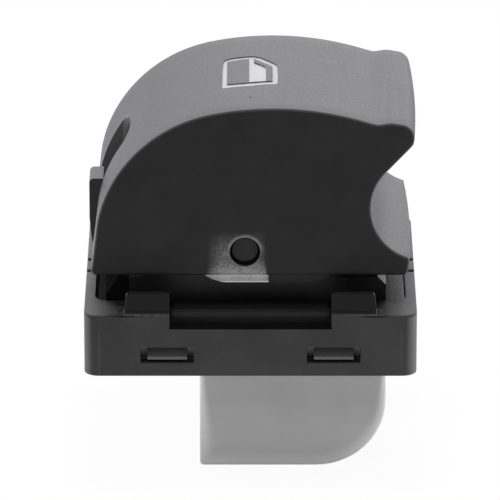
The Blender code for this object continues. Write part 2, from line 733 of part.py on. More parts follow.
def rear_and_crown():
    """Rear end, shoulder and crown of the cap, from the lower edge to where the dip begins."""
    foot = (ROCKER_REAR, ROCKER_EDGE)
    lean = math.dist(foot, FLARE_TOP)
    rise = [(FLARE_TOP[k] - foot[k]) / lean for k in (0, 1)]
    start = crown_point(CROWN_START)
    radius = [(start[k] - CROWN_CENTRE[k]) / CROWN_R for k in (0, 1)]
    first = tuple(FLARE_TOP[k] + SHOULDER_PULL[0] * rise[k] for k in (0, 1))
    last = (start[0] - SHOULDER_PULL[1] * radius[1], start[1] + SHOULDER_PULL[1] * radius[0])
    shoulder = bezier(FLARE_TOP, first, last, start, SHOULDER_STEPS)
    stride = (CROWN_END - CROWN_START) / CROWN_STEPS
    crown = [crown_point(CROWN_START + stride * i) for i in range(1, CROWN_STEPS + 1)]
    return [foot] + shoulder + crown


def nose_knots():
    """Dip, bump and rounded nose of the pull lip."""
    x, z = crown_point(CROWN_END)
    knots = [NOSE_DIP, NOSE_BUMP] + arc(NOSE_CENTRE, NOSE_R, *NOSE_TURN, NOSE_ARC_STEPS)
    return [(x + dx, z + dz) for dx, dz in knots]


def rocker_outline():
    """Cap seen from the side, from the rear of the lower edge over the crown to the front of it."""
    back = rear_and_crown()
    hollow = arc(HOLLOW_CENTRE, HOLLOW_R, *HOLLOW_TURN, HOLLOW_STEPS)
    nose = smooth_through([back[-2], back[-1]] + nose_knots() + [hollow[0]], NOSE_STEPS)
    low, high = LIP_LEAN
    raised = ROCKER_EDGE + END_ROUND
    lip = [(ROCKER_LIP + high, ROCKER_EDGE + LIP_FACE)]
    lip += arc((ROCKER_LIP + low - END_ROUND, raised), END_ROUND, 0, -90, ROUND_STEPS)
    rear = arc((ROCKER_REAR + END_ROUND, raised), END_ROUND, 270, 180, ROUND_STEPS)
    return rear + back[1:] + nose[1:] + hollow + lip


def inset_outline(points, amount, closed=True):
    """Moves each point inward, to the right of the outline's direction."""
    moved = []
    last = len(points) - 1
    for i, (x, z) in enumerate(points):
        before = points[i - 1] if closed or i else points[0]
        after = points[(i + 1) % len(points)] if closed or i < last else points[last]
        normals = []
        for (ax, az), (bx, bz) in ((before, (x, z)), ((x, z), after)):
            length = math.dist((ax, az), (bx, bz))
            if length:
                normals.append(((bz - az) / length, -(bx - ax) / length))
        if len(normals) == 1:
            normals *= 2
        (ax, az), (bx, bz) = normals
        share = amount / (1 + ax * bx + az * bz)
        moved.append((x + share * (ax + bx), z + share * (az + bz)))
    return moved


def bow(x, y):
    """How far the front of the cap stands out at this place across its width."""
    front = min(max((x - CROWN_END) / (ROCKER_LIP - CROWN_END), 0.0), 1.0)
    return NOSE_BOW * front * (1 - (y / ROCKER_HALF) ** 2)


def rocker_body(finish):
    outline = rocker_outline()
    half = ROCKER_HALF
    turns = [math.pi / 2 * i / ROUND_STEPS for i in range(ROUND_STEPS + 1)]
    side = [(half - EDGE_ROUND * (1 - math.cos(a)), EDGE_ROUND * (1 - math.sin(a))) for a in turns]
    middle = [((half - EDGE_ROUND) * (1 - 2 * k / WIDTH_STEPS), 0.0) for k in range(1, WIDTH_STEPS)]
    sections = side + middle + [(-y, inset) for y, inset in reversed(side)]
    mesh = bmesh.new()
    rings = []
    for y, inset in sections:
        ring = []
        for x, z in inset_outline(outline, inset):
            place = Vector((x + bow(x, y), y, z + BASE)) * MM
            ring.append(mesh.verts.new(place))
        rings.append(ring)
    for one, two in zip(rings, rings[1:]):
        for i in range(len(one)):
            mesh.faces.new((one[i - 1], one[i], two[i], two[i - 1]))
    mesh.faces.new(rings[0])
    mesh.faces.new(rings[-1])
    return mesh_object("rocker_cap", mesh, finish)


def rocker_cavity():
    """Inside of the cap: its outline less the wall, open below."""
    below = ROCKER_EDGE - LOBE_DROP - THROUGH
    roof = inset_outline(rear_and_crown(), ROCKER_WALL, closed=False)
    back_of_hollow = arc(HOLLOW_CENTRE, HOLLOW_R + ROCKER_WALL, *HOLLOW_BACK_TURN, HOLLOW_STEPS)
    front = (ROCKER_LIP - ROCKER_WALL, below)
    outline = [(roof[0][0], below)] + roof + back_of_hollow + [front]
    return extruded("rocker_cavity", outline, *both(ROCKER_HALF - CHEEK_WALL), "Y")


def rocker_slot():
    """Slot for the housing's tongue, down through the rear wall, with an arched end."""
    half = SLOT_WIDTH / 2
    outline = [(ROCKER_REAR - THROUGH, -half), (SLOT_START, -half)]
    for i in range(1, SLOT_STEPS):
        turn = math.pi * i / SLOT_STEPS
        outline.append((SLOT_START + SLOT_ARCH * math.sin(turn), -half * math.cos(turn)))
    outline += [(SLOT_START, half), (ROCKER_REAR - THROUGH, half)]
    return extruded("rocker_slot", outline, ROCKER_EDGE - THROUGH, CROWN_CENTRE[1] + CROWN_R)


def pivot_lobe(name, side):
    """Cheek's extension below the lower edge, under the pivot."""
    top = ROCKER_EDGE + MERGE
    rounds = []
    for i in range(LOBE_STEPS + 1):
        turn = math.pi / 2 * i / LOBE_STEPS
        rounds.append((LOBE_BEND * (1 - math.cos(turn)), ROCKER_EDGE - LOBE_DROP * math.sin(turn)))
    outline = [(LOBE_START, top), (LOBE_END, top)]
    outline += [(LOBE_END - inward, z) for inward, z in rounds]
    outline += [(LOBE_START + inward, z) for inward, z in reversed(rounds)]
    ys = sorted((side * (ROCKER_HALF - LOBE_SETBACK), side * (ROCKER_HALF - CHEEK_WALL)))
    return extruded(name, outline, *ys, "Y")


def height_over(outline, x):
    """Height of the cap's upper surface at x."""
    for (ax, az), (bx, bz) in zip(outline, outline[1:]):
        if ax <= x <= bx:
            return az + (bz - az) * (x - ax) / (bx - ax)
    raise ValueError(f"x = {x} lies outside the cap")


def rocker_foot(name, x):
    """Post under the crown that rests on a plunger."""
    roof = height_over(rear_and_crown(), x) - ROCKER_WALL / 2
    xs = (x - FOOT_THICKNESS / 2, x + FOOT_THICKNESS / 2)
    return box(name, xs, both(FOOT_WIDTH / 2), (PLUNGER_TOP + SEAT, roof))


def rocker_rib(name, x):
    """Shallow rib under the crown, from cheek to cheek."""
    roof = height_over(rear_and_crown(), x) - ROCKER_WALL
    xs = (x - RIB_THICKNESS / 2, x + RIB_THICKNESS / 2)
    ys = both(ROCKER_HALF - CHEEK_WALL / 2)
    return box(name, xs, ys, (roof - RIB_HEIGHT, roof + ROCKER_WALL / 2))


def rocker_cap(finish):
    cap = rocker_body(finish)
    weld(cap, *(pivot_lobe(f"pivot_lobe_{i}", side) for i, side in enumerate(both(1))))
    cut(cap, rocker_cavity(), rocker_slot())
    for i, x in enumerate(PLUNGER_X):
        weld(cap, rocker_foot(f"rocker_foot_{i}", x), rocker_rib(f"rocker_rib_{i}", x))
    hole = circle((PIVOT_X, PIVOT_Z), PIVOT_HOLE_R)
    cut(cap, extruded("pivot_bore", hole, *both(ROCKER_HALF + THROUGH), "Y"))
    set_origin(cap, PIVOT_X, 0, PIVOT_Z)
    return cap


def shade(made):
    made.data.shade_smooth()
    made.data.set_sharp_from_angle(angle=math.radians(SHARP_ANGLE))


def main():
    clear_scene()
    cap_plastic = material("cap_plastic", (0.02, 0.02, 0.021), 0.42)
    frame_plastic = material("frame_plastic", (0.03, 0.03, 0.031), 0.5)
    housing_plastic = material("housing_plastic", (0.012, 0.012, 0.013), 0.5)
    base_plastic = material("base_plastic", (0.26, 0.26, 0.265), 0.55)
    silicone = material("silicone", (0.45, 0.46, 0.44), 0.6)
    carbon = material("carbon", (0.01, 0.01, 0.01), 0.7)
    slider_plastic = material("slider_plastic", (0.7, 0.69, 0.65), 0.45)
    clear_plastic = material("clear_plastic", (0.75, 0.78, 0.8), 0.1)
    board_laminate = material("board_laminate", (0.03, 0.12, 0.05), 0.45)
    lamp_body = material("lamp_body", (0.8, 0.78, 0.7), 0.3)
    resistor_body = material("resistor_body", (0.03, 0.03, 0.035), 0.4)
    tinned_brass = material("tinned_brass", (0.7, 0.68, 0.62), 0.3, 1.0)

    places = terminal_places()
    made = [
        rocker_cap(cap_plastic), base_frame(frame_plastic), inner_housing(housing_plastic),
        connector_base(base_plastic, places), circuit_board(board_laminate, places),
        contact_mat(silicone), lamp(lamp_body), light_guide(clear_plastic),
    ]
    for side, x in zip(("rear", "front"), PLUNGER_X):
        made.append(plunger(f"{side}_plunger", x, slider_plastic))
        made.append(pill(f"{side}_pill", x, carbon))
    for i, (x, y) in enumerate(places):
        made.append(terminal(f"terminal_{i + 1}", x, y, tinned_brass))
    for i in range(RESISTOR_COUNT):
        x = (i - (RESISTOR_COUNT - 1) / 2) * RESISTOR_PITCH
        made.append(resistor(f"resistor_{i + 1}", x, resistor_body))
    for piece in made:
        shade(piece)


main()
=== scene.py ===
"""Looks of the power window switch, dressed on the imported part. Metres, +Z up.

Sizes are in millimetres, and heights count from the frame's lower edge. +X points to the pull lip.
The camera stands on the -Y side.
"""

import json
import math

import bmesh
import bpy
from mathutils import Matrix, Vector

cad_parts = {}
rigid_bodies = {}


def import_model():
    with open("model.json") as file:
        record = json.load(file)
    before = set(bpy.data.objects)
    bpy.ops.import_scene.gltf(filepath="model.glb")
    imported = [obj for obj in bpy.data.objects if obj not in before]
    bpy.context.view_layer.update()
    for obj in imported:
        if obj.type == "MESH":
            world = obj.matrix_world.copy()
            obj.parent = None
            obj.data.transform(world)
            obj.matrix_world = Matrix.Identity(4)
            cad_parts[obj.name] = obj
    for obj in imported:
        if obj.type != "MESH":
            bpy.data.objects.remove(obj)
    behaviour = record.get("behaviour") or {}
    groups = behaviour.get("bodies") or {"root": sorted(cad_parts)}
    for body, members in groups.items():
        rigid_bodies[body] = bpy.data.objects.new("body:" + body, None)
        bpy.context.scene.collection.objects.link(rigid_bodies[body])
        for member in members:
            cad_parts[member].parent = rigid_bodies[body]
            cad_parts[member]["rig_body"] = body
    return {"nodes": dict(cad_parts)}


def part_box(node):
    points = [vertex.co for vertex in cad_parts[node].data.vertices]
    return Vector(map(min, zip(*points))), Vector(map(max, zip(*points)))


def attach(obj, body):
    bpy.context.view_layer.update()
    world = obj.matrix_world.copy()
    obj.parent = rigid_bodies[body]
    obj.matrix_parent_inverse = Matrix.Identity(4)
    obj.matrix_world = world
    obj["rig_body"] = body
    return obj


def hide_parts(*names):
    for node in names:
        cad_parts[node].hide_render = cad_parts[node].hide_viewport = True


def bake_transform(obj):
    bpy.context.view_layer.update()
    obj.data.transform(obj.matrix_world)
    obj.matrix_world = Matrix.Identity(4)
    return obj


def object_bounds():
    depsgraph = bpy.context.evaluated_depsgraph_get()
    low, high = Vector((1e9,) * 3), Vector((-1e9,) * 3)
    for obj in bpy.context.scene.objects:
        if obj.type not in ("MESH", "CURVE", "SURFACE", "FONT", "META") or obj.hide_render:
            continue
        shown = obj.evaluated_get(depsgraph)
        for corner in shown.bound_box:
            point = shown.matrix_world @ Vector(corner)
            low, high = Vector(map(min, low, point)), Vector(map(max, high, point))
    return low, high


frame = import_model()
cad_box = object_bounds()

MM = 0.001
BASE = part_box("base_frame")[0].z / MM    # the frame's lower edge above the plug's rim

# Camera
CAMERA_PLACE = (-0.05, -631.55, 238.62)
CAMERA_ELEVATION = 20.04     # degrees above the object
CAMERA_LENS = 465.63
SENSOR_WIDTH = 36.0

# Studio
FLOOR_SIZE = 4000.0
FLOOR_GAP = 0.02             # below the plug's rim
FLOOR_COLOUR = (0.82, 0.82, 0.82)
SHADOW_SHARE = 0.05          # share of the floor's lit colour that the camera sees
SKY_LIGHT = 0.4              # what the surroundings give to matt surfaces
FRONT_GLOSS = 0.03           # how bright the dark side of the studio, in front, mirrors
FLOOR_FRONT_GLOSS = 0.17
BACK_GLOSS = 1.0
SKY_TURN = (-0.85, 0.1)      # Y of the directions between which the mirrored studio turns from dark to bright
FLOOR_TURN = (-60, 20)       # Y of the places on the floor between which it does
GLOSS_TINT = (1.0, 0.975, 1.055)
LAMPS = {
    "overhead_softbox": {
        "place": (0, -200, 1000), "aim": (0, -170, 0), "size": (500, 500), "power": 8.0, "mirrors": False,
    },
    "back_softbox": {
        "place": (-60, 800, 420), "aim": (0, 0, 25), "size": (2000, 760), "power": 5.0, "mirrors": True,
    },
}

# Cap, repeated from the part where nothing else is said
CAP_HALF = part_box("rocker_cap")[1].y / MM
CAP_EDGE = 9.88
CAP_REAR = -16.3
CAP_LIP = 15.95
CAP_WALL = 1.3
CHEEK_WALL = 1.6
EDGE_ROUND = 0.4
END_ROUND = 0.5
NOSE_BOW = 0.3
CROWN_CENTRE = (2.3, -3.75)
CROWN_R = 31.59              # 0.01 less than the part's, to stay inside its facets
CROWN_START = -4.0
CROWN_END = 11.7
NOSE_DIP = (1.2, -0.3)       # the nose's points are steps from the crown's end
NOSE_BUMP = (2.4, -0.15)
NOSE_CENTRE = (3.4, -1.8)
NOSE_R = 1.53
LIP_FACE = 1.5
LIP_LEAN = (0.15, 0.25)      # how far the lip's end face stands out at its lower and upper edge
FLARE_TOP = (-15.71, 14.9)
SHOULDER_PULL = (5.5, 6.8)   # handle lengths of the shoulder curve
HOLLOW_CENTRE = (17.85, 17.1)
HOLLOW_R = 5.6
SLOT_WIDTH = 7.6
SLOT_START = -13.4
SLOT_ARCH = 1.05
LOBE_START = -4.55           # 0.15 further back than the part's
LOBE_END = 8.1
LOBE_DROP = 0.7
LOBE_BEND = 2.2              # length of the lobe's tapering ends, 1.6 in the part
LOBE_SETBACK = 0.1           # from the cheek's face
FOOT_THICKNESS = 2.2
FOOT_WIDTH = 5.0
RIB_THICKNESS = 0.9
RIB_HEIGHT = 1.5

# Housing, frame and plug shroud, repeated from the part
INNER_X = 15.6               # half the housing's length and half its width
INNER_Y = 13.2
HOUSING_RISE = 6.5
FLANGE_HALF = 10.2
FLANGE_CORNER = 1.2
FLANGE_DEPTH = 1.0           # of the thin edges along it
LIP_DEPTH = 0.69             # of those in the notch
FRAME_TOP = 6.6
NOTCH_HALF = 8.25
TAB_LENGTH = 4.7
TAB_TOP = 8.9
PLUG_START = -5.25
PLUG_END = 14.0
PLUG_BEND = 7.2

# Pivot and plungers
PIVOT_X = -0.56
PIVOT_Z = 12.48
PIVOT_HOLE_R = 1.54          # 1.5 in the part
HOLE_CHAMFER = 0.04
PLUNGER_OFFSET = 6.8

# Joining and cutting
SEAT = 0.3                   # room between the solids
FINE_LINE = 0.1              # what the flange's edges leave open of it
THROUGH = 1.0                # how far a cutter reaches past the surface
MERGE = 0.3                  # how far a joined solid reaches into the other
APART = 0.01                 # keeps the faces of two joined solids out of one plane
SAME_POINT = 0.002           # corners closer than this are one
SAME_PLANE = 0.4             # degrees; faces closer than this are one
ROUND_STEPS = 48             # sides of the mat's round openings

# Pictogram of a car door's window, sunk into the crown
SIGN_OUTLINE = [
    (-2.92, -4.1), (-2.86, 3.11), (-2.82, 4.04), (-2.68, 4.63), (-2.41, 4.93), (-1.82, 5.1), (-0.9, 5.14),
    (0.02, 5.13), (0.34, 5.08), (0.94, 4.67), (1.87, 3.41), (2.66, 2.2), (2.79, 1.7), (2.82, -1.24),
    (2.78, -3.75), (2.68, -4.1), (-0.05, -4.45), (-2.82, -4.26),
]
SIGN_FIELD = [
    (-2.42, -3.2), (-2.41, 4.11), (-0.9, 4.32), (0.38, 4.3), (0.94, 3.43), (1.87, 2.17), (2.21, 1.57),
    (2.28, 1.08), (2.27, -3.1), (0.48, -3.33), (-0.89, -3.36),
]
SIGN_PANE = [
    (-0.15, -3.22), (-0.14, 4.71), (0.36, 4.6), (0.37, 3.15), (1.19, 1.99), (1.56, 1.43), (1.62, 0.97),
    (1.6, -3.13),
]
SIGN_DEPTH = 0.12
SIGN_STEP = 0.35             # facets of the sign's curved floor

# Contact mat
MAT_HOLE_R = 2.2
DOME_R = 3.2
DOME_TOP_R = 2.2
DOME_WALL = 0.6
MAT_THICKNESS = 0.7
MAT_CORNER = 1.5


# Shapes

def place(x, y, z):
    return Vector((x, y, z + BASE)) * MM


def mesh_piece(name, mesh):
    bmesh.ops.recalc_face_normals(mesh, faces=mesh.faces)
    data = bpy.data.meshes.new(name)
    mesh.to_mesh(data)
    mesh.free()
    piece = bpy.data.objects.new(name, data)
    bpy.context.scene.collection.objects.link(piece)
    return piece


def solid(name, outline, low, high, along="Z"):
    """Closed solid whose outline lies across the axis `along`."""
    at = {"Y": lambda a, b, h: place(a, h, b), "Z": lambda a, b, h: place(a, b, h)}[along]
    mesh = bmesh.new()
    ends = [[mesh.verts.new(at(a, b, h)) for a, b in outline] for h in (low, high)]
    for ring in ends:
        mesh.faces.new(ring)
    for i in range(len(outline)):
        mesh.faces.new((ends[0][i - 1], ends[0][i], ends[1][i], ends[1][i - 1]))
    return mesh_piece(name, mesh)


def turned(name, centre, profile, sides=64, along="Z", closed=False):
    """Solid of revolution. The profile lists (radius, place along the axis), and a closed one is a ring."""
    mesh = bmesh.new()
    rings = []
    for radius, height in profile:
        ring = []
        for i in range(sides):
            turn = 2 * math.pi * i / sides
            a = centre[0] + radius * math.cos(turn)
            b = centre[1] + radius * math.sin(turn)
            ring.append(mesh.verts.new(place(a, b, height) if along == "Z" else place(a, height, b)))
        rings.append(ring)
    pairs = list(zip(rings, rings[1:]))
    if closed:
        pairs.append((rings[-1], rings[0]))
    else:
        mesh.faces.new(rings[0])
        mesh.faces.new(rings[-1])
    for low, high in pairs:
        for i in range(sides):
            mesh.faces.new((low[i - 1], low[i], high[i], high[i - 1]))
    return mesh_piece(name, mesh)


def arc(centre, radius, start, end, steps):
    turns = [math.radians(start + (end - start) * i / steps) for i in range(steps + 1)]
    return [(centre[0] + radius * math.cos(t), centre[1] + radius * math.sin(t)) for t in turns]


def both(value):
    return (-value, value)


def shaped(target, tools, operation):
    """Joins the tools to the target or cuts them from it, and removes them."""
    for tool in tools:
        change = target.modifiers.new(tool.name, "BOOLEAN")
        change.operation = operation
        change.solver = "EXACT"
        change.object = tool
    plain(target)
    for tool in tools:
        bpy.data.objects.remove(tool)


def plain(piece):
    """Turns the piece's modifiers into a plain mesh."""
    bpy.context.view_layer.update()
    graph = bpy.context.evaluated_depsgraph_get()
    done = bpy.data.meshes.new_from_object(piece.evaluated_get(graph))
    piece.modifiers.clear()
    piece.data = done


def smooth(piece, angle=32):
    piece.data.shade_smooth()
    piece.data.set_sharp_from_angle(angle=math.radians(angle))


def softened(piece, width, angle=38, sharp=60):
    """Rounds the edges that are steeper than the angle and keeps the flats flat."""
    bevel = piece.modifiers.new("edges", "BEVEL")
    bevel.width = width * MM
    bevel.segments = 2
    bevel.limit_method = "ANGLE"
    bevel.angle_limit = math.radians(angle)
    bevel.miter_outer = "MITER_ARC"
    plain(piece)
    smooth(piece, sharp)
    weighted = piece.modifiers.new("flats", "WEIGHTED_NORMAL")
    weighted.keep_sharp = True
    plain(piece)


def dressed(node, finish, slot, edge=0.0, added=()):
    """A copy of a CAD node with merged faces and rounded edges, which stands for the node."""
    source = frame["nodes"][node]
    mesh = bmesh.new()
    mesh.from_mesh(source.data)
    bmesh.ops.remove_doubles(mesh, verts=mesh.verts, dist=SAME_POINT * MM)
    bmesh.ops.dissolve_limit(mesh, angle_limit=math.radians(SAME_PLANE), verts=mesh.verts, edges=mesh.edges)
    data = bpy.data.meshes.new(f"{node}_finish")
    mesh.to_mesh(data)
    mesh.free()
    piece = bpy.data.objects.new(data.name, data)
    bpy.context.scene.collection.objects.link(piece)
    if added:
        shaped(piece, added, "UNION")
    if edge:
        softened(piece, edge)
    else:
        smooth(piece)
    return worn_by(piece, finish, slot, source["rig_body"], node)


def worn_by(piece, finish, slot, body, *nodes):
    piece.data.materials.clear()
    piece.data.materials.append(finish)
    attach(piece, body)
    if nodes:
        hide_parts(*nodes)
    return piece


def in_painted_shade(piece, finish, low, high):
    """Give the faces whose middle lies in a box a second finish, here a black painted shade."""
    piece.data.materials.append(finish)
    for face in piece.data.polygons:
        middle = face.center / MM - Vector((0, 0, BASE))
        if all(a < value < b for a, value, b in zip(low, middle, high)):
            face.material_index = 1


def rounded_rectangle(half_x, half_y, corner, steps=8):
    points = []
    for x, y, start in ((-1, -1, 180), (1, -1, 270), (1, 1, 0), (-1, 1, 90)):
        points += arc((x * (half_x - corner), y * (half_y - corner)), corner, start, start + 90, steps)
    return points


def flange_edges():
    """Thin edges that close the housing's flange up to the frame's mouth, but for a fine line."""
    grown = SEAT - FINE_LINE
    low, high = HOUSING_RISE - FLANGE_DEPTH, HOUSING_RISE - APART / 2
    around = rounded_rectangle(INNER_X + grown, FLANGE_HALF + grown, FLANGE_CORNER)
    ring = solid("flange_ring", around, low, high)
    inside = rounded_rectangle(INNER_X - SEAT, FLANGE_HALF - SEAT, FLANGE_CORNER - 0.4)
    shaped(ring, [solid("flange_inside", inside, low - THROUGH, high + THROUGH)], "DIFFERENCE")
    edges = [ring]
    for x in both(1):
        for y in both(1):
            xs = sorted((x * (NOTCH_HALF - 2 * SEAT), x * (NOTCH_HALF - SEAT + grown)))
            ys = sorted((y * (INNER_Y - 2 * SEAT), y * (INNER_Y - APART)))
            outline = [(xs[0], ys[0]), (xs[1], ys[0]), (xs[1], ys[1]), (xs[0], ys[1])]
            edges.append(solid(f"lip_end_{x}_{y}", outline, HOUSING_RISE - LIP_DEPTH, high))
    return edges


# Node trees

def add(tree, kind, inputs=None, **settings):
    made = tree.nodes.new(kind)
    for key, value in settings.items():
        setattr(made, key, value)
    for key, value in (inputs or {}).items():
        if isinstance(value, bpy.types.NodeSocket):
            tree.links.new(value, made.inputs[key])
        else:
            made.inputs[key].default_value = value
    return made


def math_node(tree, operation, a, b=0.0, clamp=False):
    return add(tree, "ShaderNodeMath", {0: a, 1: b}, operation=operation, use_clamp=clamp).outputs[0]


def ramp(tree, value, low, high, to_low=0.0, to_high=1.0, kind="SMOOTHSTEP"):
    inputs = {"Value": value, "From Min": low, "From Max": high, "To Min": to_low, "To Max": to_high}
    return add(tree, "ShaderNodeMapRange", inputs, interpolation_type=kind).outputs["Result"]


def noise(tree, point, scale, detail, roughness=0.5):
    inputs = {"Vector": point, "Scale": scale, "Detail": detail, "Roughness": roughness}
    return add(tree, "ShaderNodeTexNoise", inputs).outputs


def object_point(tree):
    return add(tree, "ShaderNodeTexCoord").outputs["Object"]


def along_axes(tree, point):
    return add(tree, "ShaderNodeSeparateXYZ", {0: point}).outputs


def diagonal(tree, a, b):
    """Length of the hypotenuse over a and b."""
    squares = [math_node(tree, "MULTIPLY", side, side) for side in (a, b)]
    return math_node(tree, "SQRT", math_node(tree, "ADD", *squares))


def group(name, inputs, outputs):
    made = bpy.data.node_groups.new(name, "ShaderNodeTree")
    for label, kind, value in inputs:
        socket = made.interface.new_socket(name=label, in_out="INPUT", socket_type=kind)
        socket.default_value = value
    for label, kind in outputs:
        made.interface.new_socket(name=label, in_out="OUTPUT", socket_type=kind)
    return made, made.nodes.new("NodeGroupInput"), made.nodes.new("NodeGroupOutput")


FLOAT = "NodeSocketFloat"
VECTOR = "NodeSocketVector"


def grain_group():
    """Spark-eroded mould grain: fine bumps and a slow drift in shade."""
    tree, given, made = group(
        "mould_grain",
        [("Grain", FLOAT, 0.12), ("Drift", FLOAT, 4.0)],
        [("Height", FLOAT), ("Shade", FLOAT), ("Fine", FLOAT)],
    )
    point = object_point(tree)
    fine_scale = math_node(tree, "DIVIDE", 1 / MM, given.outputs["Grain"])
    slow_scale = math_node(tree, "DIVIDE", 1 / MM, given.outputs["Drift"])
    fine = noise(tree, point, fine_scale, 2.0, 0.6)["Fac"]
    slow = noise(tree, point, slow_scale, 3.0)["Fac"]
    tree.links.new(fine, made.inputs["Height"])
    tree.links.new(fine, made.inputs["Fine"])
    tree.links.new(slow, made.inputs["Shade"])
    return tree


def specks_group():
    """A few stray specks: small round spots in a few cells of a wide pattern."""
    tree, given, made = group(
        "stray_specks",
        [("Spacing", FLOAT, 3.0), ("Size", FLOAT, 0.1), ("Rarity", FLOAT, 0.8)],
        [("Mask", FLOAT)],
    )
    point = object_point(tree)
    scale = math_node(tree, "DIVIDE", 1 / MM, given.outputs["Spacing"])
    cells = add(tree, "ShaderNodeTexVoronoi", {"Vector": point, "Scale": scale, "Randomness": 1.0})
    reach = math_node(tree, "DIVIDE", given.outputs["Size"], given.outputs["Spacing"])
    near = math_node(tree, "LESS_THAN", cells.outputs["Distance"], reach)
    parts = add(tree, "ShaderNodeSeparateColor", {"Color": cells.outputs["Color"]})
    chosen = math_node(tree, "GREATER_THAN", parts.outputs["Red"], given.outputs["Rarity"])
    tree.links.new(math_node(tree, "MULTIPLY", near, chosen), made.inputs["Mask"])
    return tree


def area_group():
    """Mask of a box-shaped area with soft, slightly wavy sides. Broken gives it a speckled face."""
    tree, given, made = group(
        "marked_area",
        [
            ("Low", VECTOR, (0, 0, 0)), ("High", VECTOR, (1, 1, 1)),
            ("Soft Low", VECTOR, (1, 1, 1)), ("Soft High", VECTOR, (1, 1, 1)),
            ("Wave", FLOAT, 0.0), ("Speckle", FLOAT, 0.3), ("Broken", FLOAT, 0.0),
        ],
        [("Mask", FLOAT)],
    )
    point = object_point(tree)

    def vector(operation, a, b):
        return add(tree, "ShaderNodeVectorMath", {0: a, 1: b}, operation=operation).outputs[0]

    counted = vector("SUBTRACT", vector("MULTIPLY", point, (1 / MM,) * 3), (0, 0, BASE))
    drift = noise(tree, counted, 0.9, 4.0, 0.65)["Color"]
    sway = add(tree, "ShaderNodeCombineXYZ", {key: given.outputs["Wave"] for key in ("X", "Y", "Z")})
    swayed = vector("MULTIPLY", vector("SUBTRACT", drift, (0.5, 0.5, 0.5)), sway.outputs[0])
    counted = vector("ADD", counted, swayed)
    rise = vector("DIVIDE", vector("SUBTRACT", counted, given.outputs["Low"]), given.outputs["Soft Low"])
    fall = vector("DIVIDE", vector("SUBTRACT", given.outputs["High"], counted), given.outputs["Soft High"])
    share = vector("MINIMUM", vector("MAXIMUM", vector("MINIMUM", rise, fall), (0, 0, 0)), (1, 1, 1))
    parts = along_axes(tree, share)
    mask = math_node(tree, "MULTIPLY", parts["X"], parts["Y"])
    mask = math_node(tree, "MULTIPLY", mask, parts["Z"])
    scale = math_node(tree, "DIVIDE", 1 / MM, given.outputs["Speckle"])
    gaps = ramp(tree, noise(tree, point, scale, 3.0, 0.7)["Fac"], 0.38, 0.6, 1.0, 0.0)
    whole = math_node(tree, "SUBTRACT", 1.0, math_node(tree, "MULTIPLY", gaps, given.outputs["Broken"]))
    tree.links.new(math_node(tree, "MULTIPLY", mask, whole), made.inputs["Mask"])
    return tree


GRAIN = grain_group()
SPECKS = specks_group()
AREA = area_group()


def blended(tree, share, one, two):
    """Colour between two colours, of which each is a socket or three numbers."""
    mixed = add(tree, "ShaderNodeMix", {0: share}, data_type="RGBA")
    for index, value in ((6, one), (7, two)):
        if isinstance(value, bpy.types.NodeSocket):
            tree.links.new(value, mixed.inputs[index])
        else:
            mixed.inputs[index].default_value = (*value, 1.0)
    return mixed.outputs[2]


def finish(name, colour, roughness, grain=0.12, bump=0.25, drift=0.12, metallic=0.0, level=0.5,
           specks=0.0, speck_colour=(0.5, 0.5, 0.5), marks=()):
    """Material with mould grain, a slow drift in shade, its marks in their order, and a few specks."""
    made = bpy.data.materials.new(name)
    made.use_nodes = True
    tree = made.node_tree
    shader = tree.nodes["Principled BSDF"]
    texture = add(tree, "ShaderNodeGroup", {"Grain": grain}, node_tree=GRAIN)
    darker = tuple(c * (1 - drift) for c in colour)
    lighter = tuple(c * (1 + drift) for c in colour)
    shade = blended(tree, ramp(tree, texture.outputs["Shade"], 0.3, 0.7), darker, lighter)
    rough = ramp(tree, texture.outputs["Fine"], 0.3, 0.7, roughness - 0.05, roughness + 0.05, "LINEAR")
    for mark in marks:
        shade, rough = mark(tree, shade, rough)
    if specks:
        spots = add(tree, "ShaderNodeGroup", {"Rarity": specks}, node_tree=SPECKS)
        shade = blended(tree, spots.outputs["Mask"], shade, speck_colour)
    tree.links.new(shade, shader.inputs["Base Color"])
    tree.links.new(rough, shader.inputs["Roughness"])
    relief = {"Height": texture.outputs["Height"], "Strength": bump, "Distance": 0.02 * MM}
    tree.links.new(add(tree, "ShaderNodeBump", relief).outputs["Normal"], shader.inputs["Normal"])
    shader.inputs["Metallic"].default_value = metallic
    shader.inputs["Specular IOR Level"].default_value = level
    return made


def marked(low, high, grey, strength=1.0, soft=0.1, wave=0.0, speckle=0.2, broken=0.0, fade=None,
           roughness=None):
    """Mark of a finish: a box-shaped area in another grey.

    Soft is the width of its soft sides, or one width an axis for the low sides and one for the high ones.
    Fade gives two heights, between which the mark grows downward.
    """
    soft_low, soft_high = soft if isinstance(soft, tuple) else ((soft,) * 3, (soft,) * 3)
    inputs = {
        "Low": low, "High": high, "Soft Low": soft_low, "Soft High": soft_high,
        "Wave": wave, "Speckle": speckle, "Broken": broken,
    }

    def mark(tree, shade, rough):
        mask = add(tree, "ShaderNodeGroup", inputs, node_tree=AREA).outputs["Mask"]
        if fade:
            height = along_axes(tree, object_point(tree))["Z"]
            top, bottom = ((z + BASE) * MM for z in fade)
            mask = math_node(tree, "MULTIPLY", mask, ramp(tree, height, bottom, top, 1.0, 0.0))
        mask = math_node(tree, "MULTIPLY", mask, strength, clamp=True)
        if roughness is not None:
            rough = add(tree, "ShaderNodeMix", {0: mask, 2: rough, 3: roughness}).outputs[0]
        return blended(tree, mask, shade, (grey,) * 3), rough
    return mark


